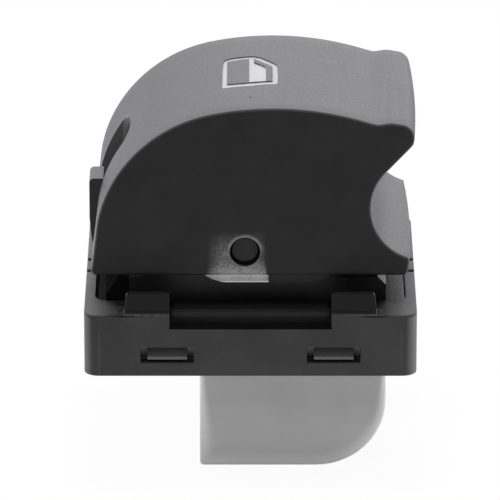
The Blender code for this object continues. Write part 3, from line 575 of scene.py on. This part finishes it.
def painted_rim_light(colour, low_reach, high_reach):
    """Mark of the plug shroud: painted light on its outline, over a strip that is widest at the bottom."""
    def mark(tree, shade, rough):
        parts = along_axes(tree, object_point(tree))
        across, up = parts["X"], parts["Z"]
        past = math_node(tree, "SUBTRACT", across, (PLUG_END - PLUG_BEND) * MM)
        under = math_node(tree, "SUBTRACT", PLUG_BEND * MM, up)
        radius = diagonal(tree, *(math_node(tree, "MAXIMUM", part, 0.0) for part in (past, under)))
        inward = math_node(tree, "SUBTRACT", PLUG_BEND * MM, radius)
        from_left = math_node(tree, "SUBTRACT", across, PLUG_START * MM)
        distance = math_node(tree, "MINIMUM", math_node(tree, "MINIMUM", inward, from_left), up)
        reach = ramp(tree, up, 0.0, BASE * MM, low_reach * MM, high_reach * MM)
        share = math_node(tree, "DIVIDE", distance, reach)
        return blended(tree, ramp(tree, share, 0.0, 1.0, 1.0, 0.0), shade, colour), rough
    return mark


def worn_lit_rim(grey, strength, bore_shade=0.013):
    """Mark of the cap: a painted highlight on the hole's worn rim, strongest above the hole, round a bore
    painted dark as shade.
    """
    def mark(tree, shade, rough):
        centre = (PIVOT_X * MM, 0, (PIVOT_Z + BASE) * MM)
        offset = add(tree, "ShaderNodeVectorMath", {0: object_point(tree), 1: centre}, operation="SUBTRACT")
        parts = along_axes(tree, offset.outputs[0])
        across, up = parts["X"], parts["Z"]
        radius = diagonal(tree, across, up)

        def within(start, end):
            """1 inside a radius that is larger than the hole's by the start, and 0 past the end."""
            return ramp(tree, radius, (PIVOT_HOLE_R + start) * MM, (PIVOT_HOLE_R + end) * MM, 1.0, 0.0)

        above = ramp(tree, up, -0.4 * MM, 0.9 * MM)
        mask = math_node(tree, "MULTIPLY", math_node(tree, "MULTIPLY", within(0.06, 0.5), above), strength)
        rim = blended(tree, mask, shade, (grey,) * 3)
        return blended(tree, within(0.01, 0.03), rim, (bore_shade,) * 3), rough
    return mark


# Cap

def crown_point(x):
    across = x - CROWN_CENTRE[0]
    return (x, CROWN_CENTRE[1] + math.sqrt(CROWN_R ** 2 - across ** 2))


def bezier(start, first, last, end, steps):
    knots = (start, first, last, end)
    points = []
    for i in range(steps + 1):
        t = i / steps
        weights = ((1 - t) ** 3, 3 * (1 - t) ** 2 * t, 3 * (1 - t) * t * t, t ** 3)
        points.append(tuple(sum(w * knot[k] for w, knot in zip(weights, knots)) for k in (0, 1)))
    return points


def smooth_through(knots, steps):
    """Curve through the knots, from the second to the last but one."""
    points = []
    for a, b, c, d in zip(knots, knots[1:], knots[2:], knots[3:]):
        for i in range(steps):
            t = i / steps
            points.append(tuple(
                b[k] + 0.5 * t * (c[k] - a[k] + t * (2 * a[k] - 5 * b[k] + 4 * c[k] - d[k]
                + t * (3 * (b[k] - c[k]) + d[k] - a[k])))
                for k in (0, 1)
            ))
    points.append(knots[-2])
    return points


def rear_and_crown():
    foot = (CAP_REAR, CAP_EDGE)
    lean = math.dist(foot, FLARE_TOP)
    rise = [(FLARE_TOP[k] - foot[k]) / lean for k in (0, 1)]
    start = crown_point(CROWN_START)
    radius = [(start[k] - CROWN_CENTRE[k]) / CROWN_R for k in (0, 1)]
    first = tuple(FLARE_TOP[k] + SHOULDER_PULL[0] * rise[k] for k in (0, 1))
    last = (start[0] - SHOULDER_PULL[1] * radius[1], start[1] + SHOULDER_PULL[1] * radius[0])
    flare = [tuple(foot[k] + (FLARE_TOP[k] - foot[k]) * i / 4 for k in (0, 1)) for i in range(4)]
    shoulder = bezier(FLARE_TOP, first, last, start, 48)
    steps = 44
    crown = [crown_point(CROWN_START + (CROWN_END - CROWN_START) * i / steps) for i in range(1, steps + 1)]
    return flare + shoulder + crown


def cap_outline():
    back = rear_and_crown()
    x, z = crown_point(CROWN_END)
    knots = [(x + dx, z + dz) for dx, dz in [NOSE_DIP, NOSE_BUMP] + arc(NOSE_CENTRE, NOSE_R, 90, -45, 5)]
    hollow = arc(HOLLOW_CENTRE, HOLLOW_R, 135, 252, 56)
    nose = smooth_through([crown_point(CROWN_END - 1.0), back[-1]] + knots + [hollow[0]], 6)
    low, high = LIP_LEAN
    raised = CAP_EDGE + END_ROUND
    lip = [(CAP_LIP + high, CAP_EDGE + LIP_FACE)]
    lip += arc((CAP_LIP + low - END_ROUND, raised), END_ROUND, 0, -90, 6)
    rear = arc((CAP_REAR + END_ROUND, raised), END_ROUND, 270, 180, 6)
    return rear + back[1:] + nose[1:] + hollow + lip


def inset(points, amount, closed=True):
    """Moves each point inward, to the right of the outline's direction."""
    moved = []
    last = len(points) - 1
    for i, (x, z) in enumerate(points):
        before = points[i - 1] if closed or i else points[0]
        after = points[(i + 1) % len(points)] if closed or i < last else points[last]
        normals = []
        for (ax, az), (bx, bz) in ((before, (x, z)), ((x, z), after)):
            length = math.dist((ax, az), (bx, bz))
            if length:
                normals.append(((bz - az) / length, -(bx - ax) / length))
        if len(normals) == 1:
            normals *= 2
        (ax, az), (bx, bz) = normals
        share = amount / (1 + ax * bx + az * bz)
        moved.append((x + share * (ax + bx), z + share * (az + bz)))
    return moved


def bow(x, y):
    """How far nose and lip stand out at x, which is most in the middle of the width."""
    front = min(max((x - CROWN_END) / (CAP_LIP - CROWN_END), 0.0), 1.0)
    return NOSE_BOW * front * (1 - (y / CAP_HALF) ** 2)


def cap_body():
    outline = cap_outline()
    turns = [math.radians(a) for a in range(0, 91, 15)]
    side = [(CAP_HALF - EDGE_ROUND * (1 - math.cos(a)), EDGE_ROUND * (1 - math.sin(a))) for a in turns]
    spans = 12
    middle = [((CAP_HALF - EDGE_ROUND) * (1 - 2 * k / spans), 0.0) for k in range(1, spans)]
    sections = side + middle + [(-y, amount) for y, amount in reversed(side)]
    mesh = bmesh.new()
    rings = []
    for y, amount in sections:
        rings.append([mesh.verts.new(place(x + bow(x, y), y, z)) for x, z in inset(outline, amount)])
    for one, two in zip(rings, rings[1:]):
        for i in range(len(one)):
            mesh.faces.new((one[i - 1], one[i], two[i], two[i - 1]))
    mesh.faces.new(rings[0])
    mesh.faces.new(rings[-1])
    return mesh_piece("rocker_cap_finish", mesh)


def cap_cavity():
    below = CAP_EDGE - LOBE_DROP - THROUGH
    roof = inset(rear_and_crown(), CAP_WALL, closed=False)
    behind_hollow = arc(HOLLOW_CENTRE, HOLLOW_R + CAP_WALL, 130, 242, 40)
    outline = [(roof[0][0], below)] + roof + behind_hollow + [(CAP_LIP - CAP_WALL, below)]
    return solid("cap_cavity", outline, *both(CAP_HALF - CHEEK_WALL), "Y")


def cap_slot():
    half = SLOT_WIDTH / 2
    steps = 24
    turns = [math.pi * i / steps for i in range(steps + 1)]
    outline = [(CAP_REAR - THROUGH, -half)]
    outline += [(SLOT_START + SLOT_ARCH * math.sin(t), -half * math.cos(t)) for t in turns]
    outline.append((CAP_REAR - THROUGH, half))
    return solid("cap_slot", outline, CAP_EDGE - THROUGH, CROWN_CENTRE[1] + CROWN_R)


def cap_lobe(side):
    steps = 10
    rounds = []
    for i in range(steps + 1):
        share = i / steps
        rounds.append((LOBE_BEND * share, CAP_EDGE - LOBE_DROP * (1 - (1 - share) ** 2)))
    top = CAP_EDGE + EDGE_ROUND + MERGE
    outline = [(LOBE_START, top), (LOBE_END, top)]
    outline += [(LOBE_END - inward, z) for inward, z in rounds]
    outline += [(LOBE_START + inward, z) for inward, z in reversed(rounds)]
    ys = sorted((side * (CAP_HALF - LOBE_SETBACK), side * (CAP_HALF - CHEEK_WALL)))
    return solid(f"cap_lobe_{side}", outline, *ys, "Y")


def roof_over(x):
    """Height of the cap's upper surface at x."""
    profile = rear_and_crown()
    for (ax, az), (bx, bz) in zip(profile, profile[1:]):
        if ax <= x <= bx:
            return az + (bz - az) * (x - ax) / (bx - ax)
    raise ValueError(f"x = {x} lies outside the cap")


def cap_post(name, x, thickness, width, low, high):
    half = thickness / 2
    outline = [(x - half, -width / 2), (x + half, -width / 2), (x + half, width / 2), (x - half, width / 2)]
    return solid(name, outline, low, high)


def cap_foot(x):
    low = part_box("front_plunger")[1].z / MM - BASE + SEAT
    return cap_post(f"cap_foot_{x:.0f}", x, FOOT_THICKNESS, FOOT_WIDTH, low, roof_over(x) - CAP_WALL / 2)


def cap_rib(x):
    """Shallow rib under the crown, from cheek to cheek."""
    roof = roof_over(x) - CAP_WALL
    width = 2 * CAP_HALF - CHEEK_WALL
    return cap_post(f"cap_rib_{x:.0f}", x, RIB_THICKNESS, width, roof - RIB_HEIGHT, roof + CAP_WALL / 2)


def pivot_bore():
    wide = PIVOT_HOLE_R + HOLE_CHAMFER
    face = CAP_HALF - HOLE_CHAMFER
    profile = [(wide + THROUGH, -CAP_HALF - THROUGH), (PIVOT_HOLE_R, -face), (PIVOT_HOLE_R, face),
               (wide + THROUGH, CAP_HALF + THROUGH)]
    return turned("pivot_bore", (PIVOT_X, PIVOT_Z), profile, along="Y")


def sunk(name, outline, depth):
    """Cutter with upright sides whose floor follows the crown."""
    mesh = bmesh.new()
    loop = [mesh.verts.new((x, y, 0)) for x, y in outline]
    mesh.faces.new(loop)
    low = min(x for x, _ in outline)
    high = max(x for x, _ in outline)
    steps = int((high - low) / SIGN_STEP)
    for i in range(1, steps + 1):
        everything = mesh.verts[:] + mesh.edges[:] + mesh.faces[:]
        x = low + (high - low) * i / (steps + 1)
        bmesh.ops.bisect_plane(mesh, geom=everything, plane_co=(x, 0, 0), plane_no=(1, 0, 0))
    floor = list(mesh.faces)
    raised = bmesh.ops.extrude_face_region(mesh, geom=floor, use_keep_orig=True)
    tops = {v for v in raised["geom"] if isinstance(v, bmesh.types.BMVert)}
    for vertex in mesh.verts:
        x, y, _ = vertex.co
        height = crown_point(x)[1] + (THROUGH if vertex in tops else -depth)
        vertex.co = place(x, y, height)
    for face in mesh.faces:
        face.material_index = 1 if all(v not in tops for v in face.verts) else 0
    return mesh_piece(name, mesh)


def window_sign():
    """Cutter of the pictogram: a ring round a raised field, and a pane in that field."""
    ring = sunk("sign_ring", SIGN_OUTLINE, SIGN_DEPTH)
    top = CROWN_CENTRE[1] + CROWN_R + 2 * THROUGH
    shaped(ring, [solid("sign_field", SIGN_FIELD, CAP_EDGE, top)], "DIFFERENCE")
    shaped(ring, [sunk("sign_pane", SIGN_PANE, SIGN_DEPTH + APART)], "UNION")
    return ring


def rocker_cap(plastic, paint):
    cap = cap_body()
    shaped(cap, [cap_lobe(side) for side in both(1)], "UNION")
    shaped(cap, [cap_cavity(), cap_slot()], "DIFFERENCE")
    for x in (PIVOT_X - PLUNGER_OFFSET, PIVOT_X + PLUNGER_OFFSET):
        shaped(cap, [cap_foot(x), cap_rib(x)], "UNION")
    cap.data.materials.clear()
    cap.data.materials.append(plastic)
    cap.data.materials.append(paint)
    shaped(cap, [pivot_bore(), window_sign()], "DIFFERENCE")
    smooth(cap, 30)
    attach(cap, "rocker")
    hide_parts("rocker_cap")
    return cap


# Contact mat, whose domes stand at the plungers' places

def round_opening(name, x, radius, low, high):
    outline = arc((x, 0), radius, 0, 360 - 360 / ROUND_STEPS, ROUND_STEPS - 1)
    return solid(name, outline, low - THROUGH, high + THROUGH)


def dome_profile(bottom, top, roof):
    inner = DOME_R - DOME_WALL
    outer = DOME_R - 0.02        # free of the sheet
    tip = 0.05                   # smallest radius, at the middle
    under = roof - DOME_WALL
    return [
        (inner, bottom), (outer, bottom), (outer, top), (DOME_TOP_R, roof),
        (tip, roof), (tip, under), (DOME_TOP_R - DOME_WALL, under), (inner, top),
    ]


def contact_mat(rubber):
    low, high = (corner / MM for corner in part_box("contact_mat"))
    bottom = low.z - BASE
    top = bottom + MAT_THICKNESS
    roof = high.z - BASE
    corners = [
        (low.x, low.y, 1, 1, 180), (high.x, low.y, -1, 1, 270),
        (high.x, high.y, -1, -1, 0), (low.x, high.y, 1, -1, 90),
    ]
    outline = []
    for x, y, sx, sy, start in corners:
        outline += arc((x + sx * MAT_CORNER, y + sy * MAT_CORNER), MAT_CORNER, start, start + 90, 8)
    sheet = solid("mat_sheet", outline, bottom, top)
    holes = [round_opening("mat_hole", PIVOT_X, MAT_HOLE_R, bottom, top)]
    for side, x in (("rear", PIVOT_X - PLUNGER_OFFSET), ("front", PIVOT_X + PLUNGER_OFFSET)):
        holes.append(round_opening(f"{side}_well", x, DOME_R, bottom, top))
        dome = turned(f"{side}_dome", (x, 0), dome_profile(bottom, top, roof), closed=True)
        smooth(dome)
        dome.data.materials.append(rubber)
        start, end = place(x, 0, top), place(x, 0, roof - DOME_WALL)
        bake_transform(dome)
    shaped(sheet, holes, "DIFFERENCE")
    softened(sheet, 0.08)
    worn_by(sheet, rubber, "silicone", "switch_body", "contact_mat")


# Solder on the board

def solder_tree(finish_used):
    """Geometry Nodes tree that sets a small cone of solder on each point."""
    tree = bpy.data.node_groups.new("solder_fillets", "GeometryNodeTree")
    tree.interface.new_socket(name="Geometry", in_out="INPUT", socket_type="NodeSocketGeometry")
    sizes = {}
    for label in ("Foot Radius", "Top Radius", "Rise"):
        sizes[label] = tree.interface.new_socket(name=label, in_out="INPUT", socket_type=FLOAT).identifier
    tree.interface.new_socket(name="Geometry", in_out="OUTPUT", socket_type="NodeSocketGeometry")
    given = tree.nodes.new("NodeGroupInput")
    made = tree.nodes.new("NodeGroupOutput")
    cone = add(tree, "GeometryNodeMeshCone", {
        "Vertices": 20, "Side Segments": 3, "Radius Top": given.outputs["Top Radius"],
        "Radius Bottom": given.outputs["Foot Radius"], "Depth": given.outputs["Rise"],
    })
    spread = add(tree, "GeometryNodeInstanceOnPoints", {
        "Points": given.outputs["Geometry"], "Instance": cone.outputs["Mesh"],
    })
    real = add(tree, "GeometryNodeRealizeInstances", {"Geometry": spread.outputs["Instances"]})
    finished = add(tree, "GeometryNodeSetMaterial", {
        "Geometry": real.outputs["Geometry"], "Material": finish_used,
    })
    tree.links.new(finished.outputs["Geometry"], made.inputs["Geometry"])
    return tree, sizes


def solder_joints(tin):
    board_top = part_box("circuit_board")[1].z
    mesh = bmesh.new()
    for i in range(6):
        low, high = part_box(f"terminal_{i + 1}")
        mesh.verts.new(((low.x + high.x) / 2, (low.y + high.y) / 2, board_top))
    piece = mesh_piece("solder_joints", mesh)
    change = piece.modifiers.new("fillets", "NODES")
    change.node_group, sizes = solder_tree(tin)
    for label, size in (("Foot Radius", 0.9), ("Top Radius", 0.35), ("Rise", 0.2)):
        change[sizes[label]] = size * MM
    plain(piece)
    smooth(piece)
    worn_by(piece, tin, "tinned_brass", "switch_body")


# Studio

def camera():
    data = bpy.data.cameras.new("camera")
    data.lens = CAMERA_LENS
    data.sensor_width = SENSOR_WIDTH
    data.clip_start = 10 * MM
    data.clip_end = 10.0
    made = bpy.data.objects.new("camera", data)
    made.location = place(*CAMERA_PLACE)
    made.rotation_euler = (math.radians(90 - CAMERA_ELEVATION), 0, 0)
    bpy.context.scene.collection.objects.link(made)
    bpy.context.scene.camera = made


def seen_share(tree):
    """Two shares: 1 for camera and transmitted rays, and 1 for mirrored rays."""
    path = add(tree, "ShaderNodeLightPath")
    straight = math_node(tree, "MAXIMUM", path.outputs["Is Camera Ray"], path.outputs["Is Transmission Ray"])
    return straight, path.outputs["Is Glossy Ray"]


def surroundings():
    """White all round for the camera, and for mirrored rays dark only in front."""
    world = bpy.data.worlds.new("studio")
    world.use_nodes = True
    bpy.context.scene.world = world
    tree = world.node_tree
    tree.nodes.clear()
    straight, glossy = seen_share(tree)
    direction = add(tree, "ShaderNodeTexCoord").outputs["Generated"]
    gloss = ramp(tree, along_axes(tree, direction)["Y"], *SKY_TURN, FRONT_GLOSS, BACK_GLOSS)
    mirrored = math_node(tree, "MULTIPLY", gloss, glossy)
    shown = math_node(tree, "MAXIMUM", mirrored, straight)
    share = math_node(tree, "MAXIMUM", straight, glossy)
    strength = add(tree, "ShaderNodeMix", {0: share, 2: SKY_LIGHT, 3: shown}).outputs[0]
    tint = blended(tree, glossy, (1, 1, 1), GLOSS_TINT)
    background = add(tree, "ShaderNodeBackground", {"Color": tint, "Strength": strength})
    output = add(tree, "ShaderNodeOutputWorld")
    tree.links.new(background.outputs[0], output.inputs[0])


def floor():
    """Pale floor, white to the camera, which keeps a little of the object's shadow."""
    half = FLOOR_SIZE / 2 * MM
    low = cad_box[0].z - FLOOR_GAP * MM
    mesh = bmesh.new()
    corners = ((-half, -half), (half, -half), (half, half), (-half, half))
    mesh.faces.new([mesh.verts.new((x, y, low)) for x, y in corners])
    piece = mesh_piece("floor", mesh)
    made = bpy.data.materials.new("floor_paper")
    made.use_nodes = True
    tree = made.node_tree
    tree.nodes.clear()
    straight, glossy = seen_share(tree)
    front, back = (y * MM for y in FLOOR_TURN)
    mirrored = ramp(tree, along_axes(tree, object_point(tree))["Y"], front, back, FLOOR_FRONT_GLOSS, BACK_GLOSS)
    strength = math_node(tree, "MAXIMUM", math_node(tree, "MULTIPLY", mirrored, glossy), straight)
    tint = blended(tree, glossy, (1, 1, 1), GLOSS_TINT)
    white = add(tree, "ShaderNodeEmission", {"Color": tint, "Strength": strength})
    matt = add(tree, "ShaderNodeBsdfDiffuse", {"Color": (*FLOOR_COLOUR, 1)})
    seen = math_node(tree, "MAXIMUM", straight, glossy)
    share = math_node(tree, "MULTIPLY", seen, 1 - SHADOW_SHARE)
    lit = add(tree, "ShaderNodeMixShader", {0: share, 1: matt.outputs[0], 2: white.outputs[0]})
    side = add(tree, "ShaderNodeNewGeometry").outputs["Backfacing"]
    clear = add(tree, "ShaderNodeBsdfTransparent")
    both_sides = add(tree, "ShaderNodeMixShader", {0: side, 1: lit.outputs[0], 2: clear.outputs[0]})
    tree.links.new(both_sides.outputs[0], add(tree, "ShaderNodeOutputMaterial").inputs[0])
    piece.data.materials.append(made)


def lamps():
    for name, about in LAMPS.items():
        data = bpy.data.lights.new(name, "AREA")
        data.shape = "RECTANGLE"
        data.size, data.size_y = (size * MM for size in about["size"])
        data.energy = about["power"]
        lamp = bpy.data.objects.new(name, data)
        lamp.location = Vector(about["place"]) * MM
        aim = Vector(about["aim"]) * MM - lamp.location
        lamp.rotation_euler = aim.to_track_quat("-Z", "Y").to_euler()
        lamp.visible_camera = False
        lamp.visible_glossy = about["mirrors"]
        bpy.context.scene.collection.objects.link(lamp)


# Wear, painted shade and painted light. Each mark is a box, from its low corner to its high one.

WIDE = 20                    # past the switch on every side
# The worn grey below also gives painted light on the worn patch and a painted highlight on the pivot hole's rim
BARE_AND_LIT = 0.6                   # grey of plastic that is worn through its gloss
# The rubbed grey below also gives painted highlights on the tabs' feet and outer edges
RUBBED_AND_LIT = 0.2                 # grey of a rubbed edge
BLACK = 0.002                # grey of a face that lies in deep shade


def cap_marks():
    """Painted shade on the lower edge and the top's rear, painted light on the slot's wall, the worn patch with
    its painted light, and single specks.
    """
    near, far = -CAP_HALF - 1, CAP_HALF + 1
    inside = near + 2
    below = 8
    slot = SLOT_WIDTH / 2
    rear, front = -4.8, 1.86     # ends of the worn patch, at the cap's edge
    edge_low, edge_high = CAP_EDGE - 0.05, CAP_EDGE + 0.1
    return [
        # Painted shade on the lower edge, darker at both ends, and on the near rear part of the top
        marked((-WIDE, near, below), (WIDE, far, 10.2), 0.003, soft=((1, 1, 1), (1, 1, 3.2)), roughness=0.8),
        marked((-WIDE, near, below), (-3, inside, 13), 0.007, 0.8, ((1, 1, 1), (8, 1, 5))),
        marked((5, near, below), (WIDE, inside, 13), 0.007, 0.8, ((8, 1, 1), (1, 1, 5))),
        marked((-13.5, -CAP_HALF + 0.15, 14), (0, CAP_HALF - 0.15, 30), 0.01, 0.33,
               ((3, 0.1, 2), (9, 0.1, 1)), roughness=0.6),
        # Painted light on the far wall and the end of the rear slot
        marked((-17, slot - 0.08, below), (-13.3, slot + 0.1, 26), 0.09, soft=0.03),
        marked((-13.5, slot - 0.9, below), (-12.6, slot + 0.1, 26), 0.08, soft=0.15),
        # Speck on the top
        marked((-0.1, -8.35, 27), (0.1, -7.85, 29), 0.004, soft=0.06, roughness=0.9),
        # Worn patch at the near pivot, pale from wear, with painted light that grows downward, painted
        # highlights along the cap's edge and the lobe below it, and two specks
        marked((-4.3, near, 9), (1.6, inside, 14.6), BARE_AND_LIT, 0.3, ((1.4, 1, 1), (0.8, 1, 2.4)), 1.0, 0.17, 0.8),
        marked((-4.5, near, 9), (1.75, inside, 12.2), BARE_AND_LIT, 0.6, ((1.5, 1, 1), (0.4, 1, 1.8)), 0.6, 0.15, 0.65,
               fade=(12, 9.4)),
        marked((rear, near, 9), (front, inside, edge_high), BARE_AND_LIT, 0.5, 0.08, 0.05, 0.16, 0.5),
        marked((rear, near, edge_low), (front, inside, edge_high), BARE_AND_LIT, 0.5, 0.05, 0.05),
        marked((rear, near, 9), (front, inside, CAP_EDGE - LOBE_DROP + 0.14), 0.8, 0.7, 0.05),
        # Painted highlight on the pivot hole's rim, with the bore painted dark as shade
        worn_lit_rim(BARE_AND_LIT, 0.24),
        marked((-2.7, near, 11.7), (-2.5, inside, 11.9), 0.01, 0.8, 0.05),
        marked((-0.2, near, 9.56), (0.0, inside, 9.68), 0.03, 0.8, 0.04),
    ]


def frame_marks():
    """Painted shade on the tabs and notch, painted light on the corners, painted shadow on the corner shelves,
    painted highlight lines, and painted highlights on the tabs' edges.
    """
    crest = TAB_TOP - 0.2
    notch = NOTCH_HALF + 0.05
    low, high = FRAME_TOP - 0.2, FRAME_TOP + 0.04
    marks = [
        # Tabs, glossier and darker with painted shade, their crests in painted shade, and the notch's floor in
        # painted shade
        marked((-WIDE, -WIDE, FRAME_TOP + 0.06), (WIDE, WIDE, WIDE), 0.006, soft=0.06, roughness=0.3),
        marked((-WIDE, -WIDE, crest), (WIDE, WIDE, WIDE), BLACK, soft=0.06, roughness=0.9),
        marked((-notch, -WIDE, 5.1), (notch, WIDE, 6.2), 0.003, soft=0.04, roughness=1.0),
        # Near corners: painted shade in a band on the left one, painted light on both, and a nick in the left
        # one
        marked((-16.5, -WIDE, -1), (-15.6, -13, low), 0.03, 0.5, 0.25),
        marked((-18, -WIDE, -1), (-16.2, -8, low + 0.05), 0.16, 0.6, ((1, 1, 1), (0.5, 1, 0.2))),
        marked((15.9, -WIDE, -1), (18, -8, low + 0.05), 0.2, 0.8, ((0.8, 1, 1), (1, 1, 0.2))),
        marked((-16.75, -WIDE, 6.28), (-15.7, -13.5, 6.38), BLACK, 0.9, 0.03, 0.12),
        # Painted shadow on the corner shelves beside the tabs, and painted shade on the strip at the tabs' feet
        marked((-14.9, -WIDE, low), (-11, WIDE, high), 0.004, 1.0, ((1.3, 1, 0.03), (1, 1, 0.03)), 0.5),
        marked((11, -WIDE, low), (14.6, WIDE, high), 0.004, 1.0, ((1, 1, 0.03), (1.3, 1, 0.03)), 0.5),
        marked((-13.1, -WIDE, FRAME_TOP - 0.06), (13.1, -14, FRAME_TOP + 0.06), 0.012,
               soft=0.04, roughness=0.8),
    ]
    # Lines of painted highlight where the corners' rounding begins
    for x, start in ((-15.45, -1), (15.4, 1.2)):
        marks.append(marked((x - 0.07, -WIDE, start), (x + 0.07, -13, 4.8), 0.1, 0.5, 0.05, 0.05))
    # Painted highlights on the feet and outer edges of the tabs
    reach = TAB_LENGTH / 2
    for x in both(NOTCH_HALF + reach):
        foot = ((x - reach, -14.95, low), (x + reach, -14.7, FRAME_TOP + 0.1))
        marks.append(marked(*foot, RUBBED_AND_LIT, 0.6, 0.06, 0.12, 0.25, 0.8))
        end = x + math.copysign(reach, x)
        outer_edge = ((end - 0.1, -WIDE, FRAME_TOP), (end + 0.1, WIDE, crest))
        marks.append(marked(*outer_edge, RUBBED_AND_LIT, 0.6, 0.04, 0.05, 0.2, 0.8))
    return marks


def housing_marks():
    """Flange in black painted shade, painted light on faces that lie in the shade below the cap, and painted
    light on the skirt and hooks in the frame's windows.
    """
    flange = INNER_Y - SEAT
    notch = NOTCH_HALF + 0.05
    side = INNER_Y + 0.01        # the hooks stand out past it
    return [
        # Painted shade on the flange beside the cap's rear and in the notch, and painted light on the tongue
        # and on the tower below the cap's edge
        marked((-WIDE, -flange, 5.8), (-12.4, flange, 9.1), BLACK, soft=0.05, roughness=1.0),
        marked((-notch, -flange, 6.0), (notch, flange, 6.6), BLACK, soft=0.05, roughness=1.0),
        marked((-WIDE, -3, 9), (-14, 3, WIDE), 0.035),
        marked((-9.5, -WIDE, 6.9), (9.5, -9, 12), 0.045, 1.0, ((3, 1, 3), (3, 1, 0.1))),
        # Near side: painted light below the flange, on the flange's edge, on the skirt and on the hooks
        marked((-notch, -INNER_Y - 0.2, 4.3), (notch, -10, 5.8), 0.08, 1.0,
               ((0.1, 0.1, 1.4), (0.1, 0.1, 0.02))),
        marked((-notch, -WIDE, 5.7), (notch, -INNER_Y + 0.2, 6.32), 0.028, soft=0.06),
        marked((-WIDE, -side - 0.2, 1.4), (WIDE, -INNER_Y + 0.3, 3.3), 0.7, 1.0,
               ((1, 0.1, 1.6), (1, 0.1, 0.1))),
        marked((-WIDE, -WIDE, 1), (WIDE, -side, 4), 0.18, 1.0, ((1, 1, 1), (1, 0.05, 2.6))),
        # Near pivot pin painted paler, painted shade at its foot, and the front end of the flange, rubbed and
        # with painted light
        marked((-WIDE, -12.7, 11), (WIDE, -11, 15), 0.03, soft=0.05),
        marked((PIVOT_X - 1.4, -13, 11), (PIVOT_X + 1.4, -11.5, 11.5), BLACK, soft=0.15),
        marked((14.2, -flange, 6.2), (WIDE, flange, 6.6), RUBBED_AND_LIT, 0.6, 0.1, 0.3, 0.3, 1.0),
    ]


def base_marks():
    """Painted light on the shroud's lower half and on its outline, which look paler."""
    return [
        marked((-WIDE, -WIDE, -15), (WIDE, WIDE, -6), 0.66, 1.0, ((1, 1, 1), (1, 1, 7.5))),
        painted_rim_light((0.9, 0.88, 0.87), 1.8, 0.45),
    ]


def main():
    camera()
    surroundings()
    floor()
    lamps()
    bpy.context.scene.view_settings.view_transform = "Standard"

    cap_plastic = finish("cap_plastic", (0.0188, 0.0188, 0.0186), 0.42, grain=0.24, bump=0.8, level=0.58,
                         marks=cap_marks())
    sign_paint = finish("sign_paint", (0.46, 0.46, 0.47), 0.5, grain=0.1, bump=0.1, drift=0.04)
    frame_plastic = finish("frame_plastic", (0.039, 0.039, 0.0392), 0.5, grain=0.24, bump=0.7, level=0.7,
                           specks=0.93, speck_colour=(0.2, 0.2, 0.2), marks=frame_marks())
    housing_plastic = finish("housing_plastic", (0.013, 0.013, 0.0135), 0.45, grain=0.18, bump=0.4, drift=0.3,
                             marks=housing_marks())
    # Black painted shade without gloss, for faces that lie in shade
    shade_black = finish("painted_shade_black", (0.004, 0.004, 0.004), 0.9, level=0.02)
    base_plastic = finish("base_plastic", (0.45, 0.45, 0.456), 0.5, grain=0.24, bump=0.6, drift=0.03,
                          specks=0.95, speck_colour=(0.75, 0.75, 0.75), marks=base_marks())
    silicone = finish("silicone", (0.45, 0.46, 0.44), 0.6, drift=0.05)
    carbon = finish("carbon", (0.01, 0.01, 0.01), 0.7)
    slider = finish("slider_plastic", (0.7, 0.69, 0.65), 0.45, bump=0.08, drift=0.03)
    laminate = finish("board_laminate", (0.03, 0.12, 0.05), 0.35, grain=0.3, bump=0.1, drift=0.15)
    lamp_body = finish("lamp_body", (0.8, 0.78, 0.7), 0.3, bump=0.05, drift=0.03)
    resistor_body = finish("resistor_body", (0.03, 0.03, 0.035), 0.35, bump=0.1)
    tin = finish("tinned_brass", (0.7, 0.68, 0.62), 0.28, grain=0.25, bump=0.15, metallic=1.0)
    clear = finish("clear_plastic", (0.8, 0.83, 0.85), 0.12, bump=0.03, drift=0.02)
    clear.node_tree.nodes["Principled BSDF"].inputs["Transmission Weight"].default_value = 0.85

    rocker_cap(cap_plastic, sign_paint)
    outer_frame = dressed("base_frame", frame_plastic, "frame_plastic", 0.12)
    # Painted shade on the floor of the frame's notch
    in_painted_shade(outer_frame, shade_black, (-NOTCH_HALF - 0.1, -WIDE, 5.0), (NOTCH_HALF + 0.1, WIDE, 5.4))
    housing = dressed("inner_housing", housing_plastic, "housing_plastic", 0.06, flange_edges())
    flange = INNER_Y - SEAT
    # Painted shade on the housing's faces beside the cap's rear
    in_painted_shade(housing, shade_black, (-WIDE, -flange, 5.8), (-13.4, flange, 9.1))
    dressed("connector_base", base_plastic, "base_plastic", 0.1)
    contact_mat(silicone)
    dressed("circuit_board", laminate, "board_laminate", 0.03)
    dressed("lamp", lamp_body, "lamp_body", 0.05)
    dressed("light_guide", clear, "clear_plastic")
    for side in ("front", "rear"):
        dressed(f"{side}_plunger", slider, "slider_plastic")
        dressed(f"{side}_pill", carbon, "carbon")
    for i in range(6):
        dressed(f"terminal_{i + 1}", tin, "tinned_brass", 0.08)
    for i in range(3):
        dressed(f"resistor_{i + 1}", resistor_body, "resistor_body", 0.05)
    solder_joints(tin)


main()
